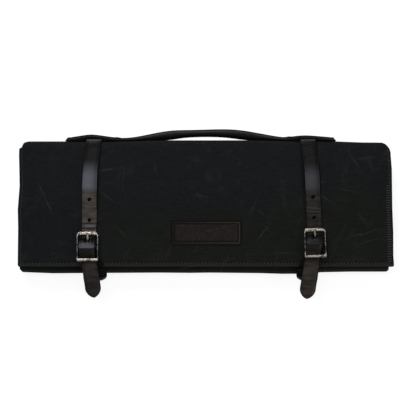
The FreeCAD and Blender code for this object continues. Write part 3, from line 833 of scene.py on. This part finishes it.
def belt_top_piece(side, belt):
    """Belt from its seam on the back, over the spine, to where the lifting part starts."""
    x = belt["top_x"]
    y, z = spline([(25, back_z), (40, back_z), (62, back_z), (79, back_z), (84.6, -0.6), (85.0, 4),
                   (85.0, 12), (85.0, 20), (84.9, 26.4), (83.2, 29.4), (80.0, front_z),
                   (78.0, front_z)], 110).T
    centre = join(x + (belt_line_x(belt, y) - x) * (z > 20 * mm), y, z)
    made = leather_strip(f"belt_{side}_over_spine", centre, (-1, 0, 0), belt_width, belt_thick,
                         belt_leather)
    x, y, z = points_of(made)
    # Painted highlight across the belt where it bends over the spine's top corner.
    corner = np.exp(-((y - 84.5 * mm) / (0.7 * mm)) ** 2) * (z > 24 * mm)
    paint(made, "painted_highlight", (0.4 + 0.35 * belt["painted_sheen"]) * corner)
    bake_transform(made)
    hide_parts(f"strap_{side}_top")


def wrinkles(belt, x, y):
    """Wrinkles across a belt above its buckle, from 0 in the creases to 1 on the crests, and how strong
    they are at a place: |sin| of the place along the belt, slanted and bent across its width."""
    middle, reach, depth = belt["folds"]
    off = x - belt_line_x(belt, y)
    place = y / (5.4 * mm) + 0.9 * np.sin(off / (4.1 * mm) + belt["seed"]) / 5.4
    place = place + 0.35 * np.sin(y / (7 * mm) + off / (9 * mm))
    uneven = 0.65 + 0.35 * np.sin(off / (3.3 * mm) + y / (5 * mm) + belt["seed"])
    strength = uneven * depth * smooth(np.abs(y / mm - middle), reach + 2.5, reach - 1.5)
    return np.abs(np.sin(math.pi * place)) ** 0.75, strength


def belt_front_path(belt):
    """Centre line of a belt on the flap: over the flap's crown, in small folds above the buckle, under the
    frame's top bar, over the bar and the loop round it, under the bottom bar, and away to the point."""
    buckle_y = belt["buckle"][1] / mm
    top, low = buckle_y + window_top, buckle_y - window_low
    y = np.linspace(78, buckle_y + 21, 140)
    z = front_height(belt_line_x(belt, y * mm), y * mm) / mm + 0.35 + belt_thick / mm / 2
    z = z + 0.35 * smooth(y, 55, 20) * np.sin(y / 7 + belt["seed"])
    z = front_z + (z - front_z) * smooth(-y, -78, -70)
    threaded = [(top + 4, 29.75), (top + 0.5, 29.75), (top - 4.5, 31.0), (buckle_y + 7.0, 35.9),
                (buckle_y + 3.6, 38.2), (buckle_y + 0.5, 39.6), (buckle_y - 2.5, 39.95),
                (buckle_y - 5.5, 38.8), (buckle_y - 9.0, 36.0), (low + 2, 33.7), (low - 3, 33.3),
                (low - 12, 33.3), (-93, 33.0), (-101, 32.1), (-108, 30.8), (belt["tip_y"] / mm, 29.6)]
    return spline(np.concatenate([join(y, z), threaded]), 420).T


def belt_front_piece(side, belt):
    """The part of a belt that lifts: front run, crest over the bar, punched holes and pointed end."""
    y, z = belt_front_path(belt)
    bar_y = belt["buckle"][1]
    centre = join(belt_line_x(belt, y), y, z)
    turned = fade(np.abs(y - bar_y), 40, 15) * math.radians(belt["turn"])
    to_tip = length_along(centre[::-1])[::-1]
    round_tip = (1 - (1 - np.clip(0.01 + to_tip / (13 * mm), 0, 1)) ** 2) ** 0.65
    swell = fade(np.abs(y - bar_y), 13, 6)
    width = belt_width * round_tip * (1 + 0.05 * fade(-y, 72, 95) + 0.055 * swell)
    wear = 1 - 0.012 * np.sin(y / (6 * mm)) - 0.008 * np.sin(y / (2.3 * mm))

    def relief(x, y):
        """Height of the wrinkles above the buckle."""
        crest, depth = wrinkles(belt, x, y)
        return (crest - 0.6) * depth * 1.7 * mm

    made = leather_strip(f"belt_{side}_front", centre, join(-np.cos(turned), -np.sin(turned), 0),
                         width * wear, belt_thick, belt_leather, relief=relief)
    holes = [(bar_y + prong_hole, 1.5)]
    holes += [(bar_y + up * mm + belt["hole_shift"], 1.1) for up in free_holes]
    bore(made, [plug(float(belt_line_x(belt, y)), y, hole_radius, stretch) for y, stretch in holes])
    x, y, z = points_of(made)
    above_bar = y - bar_y
    crest, depth = wrinkles(belt, x, y)
    painted_sheen = belt["painted_sheen"]
    # Painted highlights: a broad sheen on the front run that fades towards the belt's right edge, light on
    # the wrinkles' crests, and a band on the crest over the bar.
    left_side = 1 - 0.45 * fade(x - belt_line_x(belt, y), -1, 9)
    painted_highlight = painted_sheen * smooth(y, (56 + 6 * painted_sheen) * mm, 36 * mm) * fade(y, 15, 27) * left_side
    painted_highlight = painted_highlight + 1.1 * painted_sheen ** 2 * depth * smooth(crest, 0.82, 0.99)
    painted_highlight = painted_highlight + belt["crest"] * fade(above_bar, -2.4, -1.8) * fade(above_bar, 7, -1)
    bare = belt["worn"] * fade(y, 27, 14) * fade(above_bar, 14, 19)
    # Taking the brown out of the wrinkles' hollows leaves them darker, which is painted shade in the
    # creases.
    bare = bare * (1 - 0.9 * depth * smooth(crest, 0.7, 0.2)) + belt["tail"] * fade(y, -66, -74)
    bare = bare + 0.16 * fade(above_bar, -2.4, -4) * fade(y, -66, -58)
    paint(made, "painted_highlight", painted_highlight)
    paint(made, "bare", bare)
    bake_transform(made)
    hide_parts(f"strap_{side}", f"strap_{side}_end")


for belt_side, belt_sizes in belts.items():
    belt_top_piece(belt_side, belt_sizes)
    belt_front_piece(belt_side, belt_sizes)


def back_seam(x, y):
    """Rectangle of stitches with a cross in it, which holds a strap's end to the back."""
    half, long = 7.0 * mm, 9.0 * mm
    corners = np.array([(-half, -long), (half, -long), (half, long), (-half, long), (-half, -long),
                        (half, long), (half, long), (-half, long), (half, -long)])
    return seam(corners + (x, y), 2.6 * mm, lambda a, b: -3.2 * mm + 0 * a)


# ---- Lower straps ------------------------------------------------------------------------------
# A short strap under each belt is sewn to the back and comes round the bottom. Its end is split thin,
# folded round the buckle's bar with a slot for the prong, and sewn down on itself.
ply = 1.5 * mm
slot_radius, slot_stretch, slot_low = 1.75 * mm, 3.6, 31.7 * mm
# In millimetres: the radius of the loop round the bar, the levels of the centre of each ply, and where the
# plies start.
loop, low_ply, high_ply, fold_y = 2.45, 29.05, 30.75, -79.7


def lower_strap_base(side, belt):
    """Strap from its seam on the back, round the bottom, where it bows, to the front."""
    y, z = spline([(-25, back_z), (-45, back_z), (-65, back_z), (-80, back_z), (-90.5, -1.2), (-93.2, 4.5),
                   (-93.4, 14), (-93.0, 23.5), (-90.0, 29.2), (-84, 29.75), (-79.8, 29.8)], 100).T
    centre = join(belt["base_x"], y, z)
    made = leather_strip(f"lower_strap_{side}_base", centre, (1, 0, 0), belt_width, belt_thick,
                         shaded_strap_leather, bow=3.6 * mm)
    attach(made, "roll_body")
    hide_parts(f"chape_{side}_base")


def lower_strap_loop(side, belt):
    """Thin folded end: up the upper ply, round the bar, and back along the lower ply."""
    bar_x, bar_y = belt["buckle"][0] / mm, belt["buckle"][1] / mm
    z = bar_z / mm
    flat_y = bar_y - 12.9
    y, z = spline([(fold_y, high_ply), (flat_y - 6, high_ply), (flat_y, high_ply + 0.2),
                   (flat_y + 4, high_ply + 1.6), (bar_y - 4.5, z + 1.6), (bar_y - 1, z + loop),
                   (bar_y + 1.3, z + loop), (bar_y + loop, z + 1.3), (bar_y + loop, z - 1.3),
                   (bar_y + 1.3, z - loop), (bar_y - 1.5, z - loop - 0.1), (flat_y + 6, low_ply + 0.9),
                   (flat_y, low_ply), (flat_y - 6, low_ply), (fold_y, low_ply)], 170).T
    turn = math.radians(belt["turn"])
    lean = math.sin(turn)
    base_x = belt["base_x"] / mm
    low = bar_y - window_low
    middle_y = np.array([fold_y, low, bar_y - 4, bar_y + 19]) * mm
    middle_x = [base_x, bar_x + window_low * lean + math.copysign(1.2, base_x - bar_x), bar_x,
                bar_x - 19 * lean]
    centre = join(np.interp(y, middle_y, np.array(middle_x) * mm), y, z)
    turned = smooth(y, low * mm, (bar_y - 4) * mm) * turn
    made = leather_strip(f"lower_strap_{side}_loop", centre, join(-np.cos(turned), -np.sin(turned), 0),
                         belt_width + 0.4 * mm, ply, shaded_strap_leather)
    bore(made, [plug((bar_x - lean * 1.2) * mm, (bar_y + 0.6) * mm, slot_radius, slot_stretch, slot_low)])
    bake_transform(made)
    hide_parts(f"chape_{side}")


for belt_side, belt_sizes in belts.items():
    lower_strap_base(belt_side, belt_sizes)
    lower_strap_loop(belt_side, belt_sizes)

box_rows = [back_seam(sizes["top_x"], 37 * mm) for sizes in belts.values()]
box_rows += [back_seam(sizes["base_x"], -37 * mm) for sizes in belts.values()]
box_stitches = stitches("back_box_stitches", box_rows, (2.0 * mm, 0.8 * mm, 0.7 * mm))
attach(box_stitches, "roll_body")


# ---- Buckles -----------------------------------------------------------------------------------
# Two nickel-plated cast buckles with a broad top bar, waisted sides and a bar across the middle. The frame
# leans on the two plies of the lower strap, and a flat prong turns on the bar and rests on the top bar.
def worn_nickel():
    """Nickel plate on cast brass, tumbled and worn: warm grey, satin, scratched, with dull patches."""
    material, tree, shader, place = new_material("satin_nickel_plate")
    tarnish = add(tree, "Attribute", attribute_name="tarnish")
    cloud = add(tree, "TexNoise", place, Scale=190.0, Detail=4.0)
    scratch = add(tree, "Mapping", place, Rotation=(0, 0, 0.5), Scale=(300, 2600, 900))
    scratch = add(tree, "TexNoise", scratch, Scale=1.0, Detail=2.0)
    dull = add(tree, "TexNoise", place, Scale=260.0, Detail=2.0, Roughness=0.6)
    dull = add(tree, "MapRange", dull, From_Min=0.46, From_Max=0.62, To_Max=0.8)
    dull = add(tree, "Math", dull, tarnish, operation="ADD", use_clamp=True)
    rough = add(tree, "MapRange", cloud, From_Min=0.35, From_Max=0.65, To_Min=0.26, To_Max=0.4)
    dress(tree, shader, "#6f6962", [(cloud, "#a8a199"), (dull, "#302e2d")],
          [(scratch, 0.25, 0.1), (cloud, 0.2, 0.3)], {"Roughness": rough, "Metallic": 1.0})
    return material


nickel = worn_nickel()


def rounded_outline(half_x, half_y, top, bottom, side_count=16):
    """Closed outline of a rectangle with its own corner radius at the top and the bottom. Outlines of
    different sizes have matching points."""
    rows = []
    for corner, (sign_x, sign_y) in enumerate(((1, 1), (-1, 1), (-1, -1), (1, -1))):
        radius = top if sign_y > 0 else bottom
        turn = np.linspace(0, math.pi / 2, 8) + corner * math.pi / 2
        rows.append(join(sign_x * (half_x - radius) + radius * np.cos(turn),
                         sign_y * (half_y - radius) + radius * np.sin(turn)))
    out = []
    for row, following in zip(rows, rows[1:] + rows[:1]):
        share = np.linspace(0, 1, side_count + 2)[1:-1, None]
        out += [row, row[-1] + (following[0] - row[-1]) * share]
    return np.concatenate(out)


def tube_mesh(name, rings, material):
    """Closed mesh of a tube through rings of points, with flat ends."""
    quads, index = tube(rings.shape)
    return close_mesh(name, rings, [quads, index[:1], index[-1:]], material)


def squarish(value, power):
    """Power of a number that keeps its sign: of a cosine and a sine, it squares a circle off."""
    return np.sign(value) * np.abs(value) ** power


def set_in_buckle(points, belt, tilt):
    """Points of a level buckle at the origin, tilted about the bar, turned in plan, and moved to it."""
    x, level, z = np.moveaxis(points, -1, 0)
    y = level * math.cos(tilt) + z * math.sin(tilt)
    z = -level * math.sin(tilt) + z * math.cos(tilt)
    turn = math.radians(belt["turn"])
    return join(x * math.cos(turn) - y * math.sin(turn) + belt["buckle"][0],
                x * math.sin(turn) + y * math.cos(turn) + belt["buckle"][1], z + bar_z)


# The lean of the frame as a rise over a reach, the widths of its sides and of its end bars, and the radius
# of the bar across it.
frame_rise, frame_reach = 3.5, 32.8
frame_tilt = math.atan2(frame_rise, frame_reach)
side_wide, end_wide, bar_radius = 2.1 * mm, 4.3 * mm, 1.3 * mm


def buckle_frame(side, belt):
    """Frame: a ring between an outer and an inner outline with a squarish section, and the bar."""
    half_x, half_y = frame_width / 2, frame_height / 2
    outer = rounded_outline(half_x, half_y, 5.0 * mm, 2.4 * mm)
    inner = rounded_outline(half_x - side_wide, half_y - end_wide, 1.6 * mm, 1.2 * mm)
    inner[:, 1] -= 0.55 * mm
    waist = smooth(np.abs(outer[:, 1]), half_y - 3 * mm, 5 * mm) * 0.35 * mm
    outer[:, 0] -= np.sign(outer[:, 0]) * waist * (np.abs(outer[:, 0]) > half_x - 1 * mm)
    deep = 1.3 * mm + 0.15 * mm * smooth(outer[:, 1:], half_y - 7 * mm, half_y - 1 * mm)
    turn = circle(20)
    middle, reach = (outer + inner) / 2, (outer - inner) / 2
    out = squarish(np.cos(turn), 0.7)
    ring = join(middle[:, :1] + reach[:, :1] * out, middle[:, 1:] + reach[:, 1:] * out,
                deep * squarish(np.sin(turn), 0.75))
    count = ring.size // 3
    quads = tube((len(ring) + 1, 20))[0] % count
    bar = join(np.linspace(-half_x + 1.0 * mm, half_x - 1.0 * mm, 12)[:, None], bar_radius * np.cos(turn),
               bar_radius * np.sin(turn))
    bar_quads, bar_index = tube(bar.shape)
    faces = [quads] + [group + count for group in (bar_quads, bar_index[:1], bar_index[-1:])]
    level = np.concatenate([ring.reshape(-1, 3), bar.reshape(-1, 3)])
    made = close_mesh(f"buckle_{side}_frame", set_in_buckle(level, belt, frame_tilt), faces, nickel)
    sides = 0.5 * smooth(np.abs(ring[..., 0]), half_x - 3.5 * mm, half_x - 2 * mm)
    sides = sides * smooth(np.abs(ring[..., 1]), half_y - 4 * mm, half_y - 8 * mm)
    paint(made, "tarnish", np.append(sides, np.ones(bar.size // 3)))
    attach(made, f"buckle_{side}")
    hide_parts(f"buckle_frame_{side}")


def prong(side, belt):
    """Prong: a flat rounded section along a path that is curled round the bar and runs over the top bar."""
    y, z = spline([(1.9, -1.6), (0.2, -2.45), (-1.7, -1.9), (-2.6, 0.1), (-1.7, 1.9), (0.2, 2.4),
                   (2.6, 1.5), (5.0, -0.1), (7.0, 0.5), (10.0, 1.5), (14.0, 1.5), (16.2, 1.0), (17.8, 0.7)],
                  70).T
    centre = join(0, y, z)
    share = np.linspace(0, 1, 70)[:, None]
    wide = np.interp(share, [0, 0.45, 0.6, 0.8, 0.92, 1], [1.2, 1.2, 0.9, 1.55, 1.4, 1.1]) * mm
    wide = wide * np.sqrt(np.clip(1 - smooth(share, 0.95, 1.03) ** 2, 0, 1))
    deep = 0.8 * mm * np.sqrt(np.clip(1 - smooth(share, 0.96, 1.04) ** 2, 0, 1))
    turn = circle(16)
    u, v = wide * squarish(np.cos(turn), 0.8), deep * np.sin(turn)
    rings = swept(centre, path_axes(centre, (1, 0, 0)), u, v)
    made = tube_mesh(f"buckle_{side}_prong", set_in_buckle(rings, belt, 0), nickel)
    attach(made, f"prong_{side}")
    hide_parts(f"prong_{side}")


for belt_side, belt_sizes in belts.items():
    buckle_frame(belt_side, belt_sizes)
    prong(belt_side, belt_sizes)


# ---- Handle ------------------------------------------------------------------------------------
# Carrying handle of black harness leather on the spine. Two flat ends hump over the belts and are riveted
# to the canvas on each side of them. Between them the leather is rolled round a cord and sewn along its
# finger side.
handle_leather = bridle_leather("black_harness_leather", "#030303", "#070707", 0.1, 0.5, "#38393a")
handle_z = 14 * mm
# Flat ends: their outer and inner end in millimetres and the way inward, half their width, their seat on
# the spine, and the room for the belt under them.
handle_ends = {"left": (-179.0, -107.0, 1), "right": (167.0, 101.0, -1)}
end_half, end_seat, belt_room = 11 * mm, 83.45 * mm, 3.3 * mm
rivet_x = np.array([-172.5, -113.5, 107.5, 160.5]) * mm


def contour(points, x):
    """Height at each x of a smooth line through control points."""
    line = spline(points, 300)
    return np.interp(x, line[:, 0], line[:, 1])


outer_line = [(-178.6, 83.4), (-178.0, 85.5), (-173.5, 88.1), (-158, 90.1), (-146, 92.4), (-130, 90.2),
              (-110, 87.1), (-90, 88.4), (-64, 94.2), (-40, 97.9), (-18, 97.6), (22, 99.2), (44, 98.1),
              (73, 93.1), (92, 89.3), (106, 88.1), (124, 91.6), (150, 88.9), (161, 88.5), (166.4, 85.0),
              (166.8, 83.4)]
finger_line = [(-110, 83.2), (-80, 83.4), (-58, 84.0), (-44, 84.8), (-29, 87.6), (-10, 88.7), (12, 88.8),
               (30, 87.7), (50, 84.7), (64, 83.8), (110, 83.2)]


def handle_end(side):
    """Riveted end of the handle: two plies whose outer face humps over the belt. Its section is a rectangle
    with round corners between the outer line and the spine, or the belt, and a groove marks the joint of
    the plies."""
    outer, inner, inward = handle_ends[side]
    belt_x = belts[side]["top_x"]
    beside = np.linspace(8.9, 10.1, 7) * mm
    x = np.concatenate([np.linspace(outer * mm + 0.8 * mm * inward, inner * mm, 150), belt_x + beside,
                        belt_x - beside])
    x = np.sort(x)[:, None]
    off = np.abs(x - belt_x)
    top = contour(outer_line, x)
    low = end_seat + belt_room * fade(off, 10.0, 9.0)
    half_y = np.maximum((top - low) / 2, 0.35 * mm)
    from_end = np.clip(np.abs(x - outer * mm) / (9 * mm), 0, 1)
    half_z = end_half * (0.35 + 0.65 * np.sqrt(1 - (1 - from_end) ** 2))
    half_z = half_z * (1 - 0.34 * fade(np.abs(x - inner * mm), 14, 0))
    flat, wide, tall = (rounded_outline(a, b, 0.9 * mm, 0.9 * mm) for a, b in ((0, 0), (1, 0), (0, 1)))
    wide, tall = (wide - flat)[:, 0], (tall - flat)[:, 1]
    shrink = np.clip(half_y / (1.2 * mm), 0, 1)
    u, v = flat[:, 0] * shrink + half_z * wide, flat[:, 1] * shrink + half_y * tall
    joint = np.exp(-((v - (half_y - 3.0 * mm)) / (0.45 * mm)) ** 2) * (np.abs(wide) > 0.9)
    rings = join(x, (top + low) / 2 + v, handle_z + u - np.sign(u) * 0.5 * mm * joint)
    made = tube_mesh(f"handle_{side}_end", rings, handle_leather)
    # Painted shade: the lower ply and the leather just beside the belt are darkened as if in shadow, and
    # the outer top edge is dark. A painted highlight runs along the top ply.
    down = half_y - v
    under = np.maximum(fade(down, 2.6, 3.4), fade(down, 1.5, 0.9))
    shadow_beside_belt = fade(off, 15, 11) * fade(off, 9.4, 10)
    under = np.maximum(under, shadow_beside_belt * fade(down, 1.6, 2.6))
    rim = smooth(np.abs(u), half_z - 1.6 * mm, half_z - 0.8 * mm) * smooth(v, 0, half_y)
    paint(made, "edge", np.maximum(under, 0.6 * rim))
    lit = fade(down, 1.2, 1.8) * fade(down, 3.2, 2.4)
    paint(made, "painted_highlight", 0.55 * lit * (np.abs(wide) > 0.9))
    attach(made, "roll_body")
    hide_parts(f"handle_anchor_{side}")


def handle_loft(name, x, half_z, power, ridge, inset=0.0):
    """Leather lofted along x between the outer line and the finger line: the section is a superellipse,
    with a sewn ridge on its finger side and a dark closing line on each side of the ridge. Its lower half
    is darkened as painted shade, its outer edge is dark, and a painted highlight runs just below it."""
    x, half_z, power, ridge = (row[:, None] for row in (x, half_z, power, ridge))
    top, low = contour(outer_line, x) - inset, contour(finger_line, x) + inset
    half_y = (top - low) / 2
    turn = circle(56)
    off = turn - 1.62 * math.pi
    lip, line = np.exp(-(off / 0.2) ** 2), np.exp(-((np.abs(off) - 0.42) / 0.1) ** 2)
    u = (half_z - inset) * squarish(np.cos(turn), power) * (1 + ridge * (0.10 * lip - 0.10 * line))
    v = half_y * squarish(np.sin(turn), power) * (1 + ridge * (0.06 * lip - 0.10 * line))
    made = tube_mesh(name, join(x, (top + low) / 2 + v, handle_z + u), handle_leather)
    down = half_y - v
    # Painted shade on the lower half, and below the outer edge a painted highlight.
    dark = np.maximum(line * ridge, smooth(-v, -0.2 * half_y, 0.5 * half_y))
    paint(made, "edge", np.maximum(dark, fade(down, 1.5, 0.7)))
    paint(made, "painted_highlight", 0.45 * fade(down, 1.1, 1.8) * fade(down, 4.4, 2.4) * (u > 0))
    return made


def twisted_cord():
    """Laid cotton cord, undyed and greyed: fibres that follow the lay, matte and a little fuzzy."""
    material, tree, shader, place = new_material("laid_cotton_cord")
    lay = add(tree, "TexWave", place, Scale=wave_period / (1.1 * mm), Distortion=1.0, Detail=2.0,
              bands_direction="DIAGONAL")
    fuzz = add(tree, "TexNoise", place, Scale=600.0, Detail=4.0)
    fibre = add(tree, "Math", lay, fuzz, operation="MULTIPLY")
    dress(tree, shader, "#5d584e", [(fibre, "#a39c8c")], [(fibre, 0.6, 0.3)], {"Roughness": 0.95})
    return material


def handle_grip():
    """Rolled grip from end to end between the arms, and the cord inside it."""
    x = np.linspace(-66.3 * mm, 60.3 * mm, 150)
    share = np.abs(x + 3 * mm) / (63 * mm)
    made = handle_loft("handle_grip_rolled", x, (4.3 - 0.5 * share ** 2) * mm, 1 - 0.08 * share,
                       smooth(share, 1.0, 0.9))
    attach(made, "handle")
    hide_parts("handle_grip")
    x = x[8:-8, None]
    middle = (contour(outer_line, x) + contour(finger_line, x)) / 2
    turn = circle(30)
    lay = 2 * math.pi * x / (14 * mm)
    radius = 2.2 * mm * (0.86 + 0.14 * np.abs(np.cos(1.5 * (turn - lay))))
    rings = join(x, middle + radius * np.cos(turn), handle_z + radius * np.sin(turn))
    core = tube_mesh("handle_cord_core", rings, twisted_cord())
    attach(core, "handle")
    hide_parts("handle_core")


def handle_arm(side):
    """Arm that turns from the flat end into the round grip."""
    near, far, way = {"left": (-66.0, -108.5, -1), "right": (60.0, 102.5, 1)}[side]
    share = np.linspace(0, 1, 80)[::way]
    to_end = smooth(share, 0.1, 0.9)
    made = handle_loft(f"handle_{side}_arm", (near + (far - near) * share) * mm, (3.75 + 3.5 * to_end) * mm,
                       0.92 - 0.42 * to_end, 0 * share, 0.12 * mm)
    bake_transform(made)
    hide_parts(f"handle_arm_{side}")


def dark_steel():
    """Blackened steel rivets: oil-blacked, satin, worn to bare metal on top of the dome."""
    material, tree, shader, place = new_material("oil_blacked_steel")
    wear = add(tree, "TexNoise", place, Scale=700.0, Detail=4.0)
    share = add(tree, "MapRange", wear, From_Min=0.45, From_Max=0.7)
    dress(tree, shader, "#2c2b2a", [(share, "#5d5a56")], [(wear, 0.3, 0.1)],
          {"Metallic": 1.0, "Roughness": 0.42})
    return material


def rivets():
    """Four rivets, each a profile turned about Y: domed head, shank, and washer inside."""
    profile = np.array([(0.0, 0.75), (1.6, 0.7), (2.9, 0.5), (3.9, 0.2), (4.3, -0.1), (4.4, -0.4),
                        (4.2, -0.5), (1.5, -0.5), (1.5, -3.0), (4.2, -3.02), (4.5, -3.3), (4.4, -4.0),
                        (3.6, -4.4), (0.0, -4.5)]) * mm
    radius, up = profile[:, :1], profile[:, 1:]
    turn = circle(32)
    groups, points = [], []
    for x in rivet_x:
        y = np.where(up > -0.6 * mm, contour(outer_line, x) + up, 83.3 * mm + up)
        rings = join(x + radius * np.cos(turn), y, handle_z + radius * np.sin(turn))
        shift = sum(len(part) for part in points)
        groups += [group + shift for group in tipped_tube(rings[1:-1].shape)]
        points += [rings[1:-1].reshape(-1, 3), rings[[0, -1], 0]]
    points = np.concatenate(points)
    made = close_mesh("handle_rivets_domed", points, groups, dark_steel(), points[:, ::2])
    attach(made, "roll_body")
    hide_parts("handle_rivets")


for belt_side in belts:
    handle_end(belt_side)
    handle_arm(belt_side)
handle_grip()
rivets()


# ---- Leather patch -----------------------------------------------------------------------------
# A patch of dark reddish-brown leather is glued and pressed onto the flap. Its rim is skived, and a double
# line is tooled round it. The field inside is bare.
# It is a little wider than its solid and a little higher up.
patch_low, patch_high = (np.array(corner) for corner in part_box("name_patch"))
patch_low = patch_low + np.array([-0.3, 0.8, 0]) * mm
patch_high = patch_high + np.array([1.8, 0.6, 0]) * mm


def brown_leather():
    """Oiled brown leather, pressed: 1 mm pebble grain, darker burnished rim and tooled lines, slight bloom.
    The attribute edge is 1 where it is burnished and in the tooled groove, and also paints shade on the
    left part of the bead between the lines; ridge is a painted highlight on the bead's right part."""
    material, tree, shader, place = new_material("oiled_brown_leather")
    edge, ridge = (add(tree, "Attribute", attribute_name=key) for key in ("edge", "ridge"))
    pores, pebble = (add(tree, "TexVoronoi", place, Scale=1 / (size * mm)) for size in (1.0, 2.2))
    cloud = add(tree, "TexNoise", place, Scale=70.0, Detail=5.0)
    worn = add(tree, "MapRange", cloud, From_Min=0.35, From_Max=0.7)
    valley = add(tree, "MapRange", pebble, From_Min=0.2, From_Max=0.7, To_Max=0.5)
    crown = add(tree, "TexNoise", place, Scale=480.0, Detail=2.0)
    crown = add(tree, "MapRange", crown, From_Min=0.5, From_Max=0.7, To_Max=0.6)
    rough = add(tree, "MapRange", edge, To_Min=0.6, To_Max=1.0)
    dress(tree, shader, "#140f0d", [(worn, "#1b1411"), (valley, "#050403"), (crown, "#282322"),
                                    (ridge, "#3a2f2b"), (edge, "#0b0a0a")],
          [(pores, 0.4, 0.15), (cloud, 0.4, 0.5)], {"Roughness": rough, "Specular IOR Level": 0.12})
    return material


def name_patch():
    """Patch as rings from its rim inwards, whose height over the flap depends on how far in they are."""
    middle, half = (patch_low + patch_high) / 2, (patch_high - patch_low) / 2
    depth = np.concatenate([[0, 0, 0.15, 0.4, 0.8, 1.4], np.arange(1.9, 5.8, 0.4),
                            np.linspace(6.3, 15.6, 8)]) * mm
    level = 1.2 * mm * (1 - np.clip(1 - depth / (1.4 * mm), 0, 1) ** 2) ** 0.35 + 0.02 * mm
    level[1] = 0.45 * mm
    level += 0.35 * mm * fade(depth, 1.9, 2.9) + 0.09 * mm * fade(depth, 5.6, 15)
    level -= 0.55 * mm * fade(depth, 3.7, 4.5) * fade(depth, 5.7, 4.9)
    radii = np.maximum(2.5 * mm - 0.6 * depth, 0.25 * mm)
    rings = np.stack([rounded_outline(half[0] - d, half[1] - d, radius, radius, 60)
                      for d, radius in zip(depth, radii)])
    x, y = rings[..., 0] + middle[0], rings[..., 1] + middle[1]
    made = tube_mesh("name_patch_leather", join(x, y, front_height(x, y) + level[:, None]), brown_leather())
    # Painted light on the patch: the rim is darkened less along the bottom, and the bead between the tooled
    # lines gets painted shade towards the left and a painted highlight towards the right.
    rim = np.interp(depth / mm, [1.9, 2.3], [1, 0])[:, None] * np.where(y < patch_low[1] + 2.5 * mm, 0.4, 1)
    bead = np.interp(depth / mm, [1.9, 2.3, 3.9, 4.3], [0, 1, 1, 0])[:, None]
    groove = np.interp(depth / mm, [3.9, 4.3, 5.2, 5.6], [0, 1, 1, 0])[:, None]
    across = (x - patch_low[0]) / (patch_high[0] - patch_low[0])
    paint(made, "edge", rim + groove + 0.45 * bead * (1 - across))
    paint(made, "ridge", 0.35 * bead * across)
    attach(made, "flap")
    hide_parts("name_patch")


name_patch()
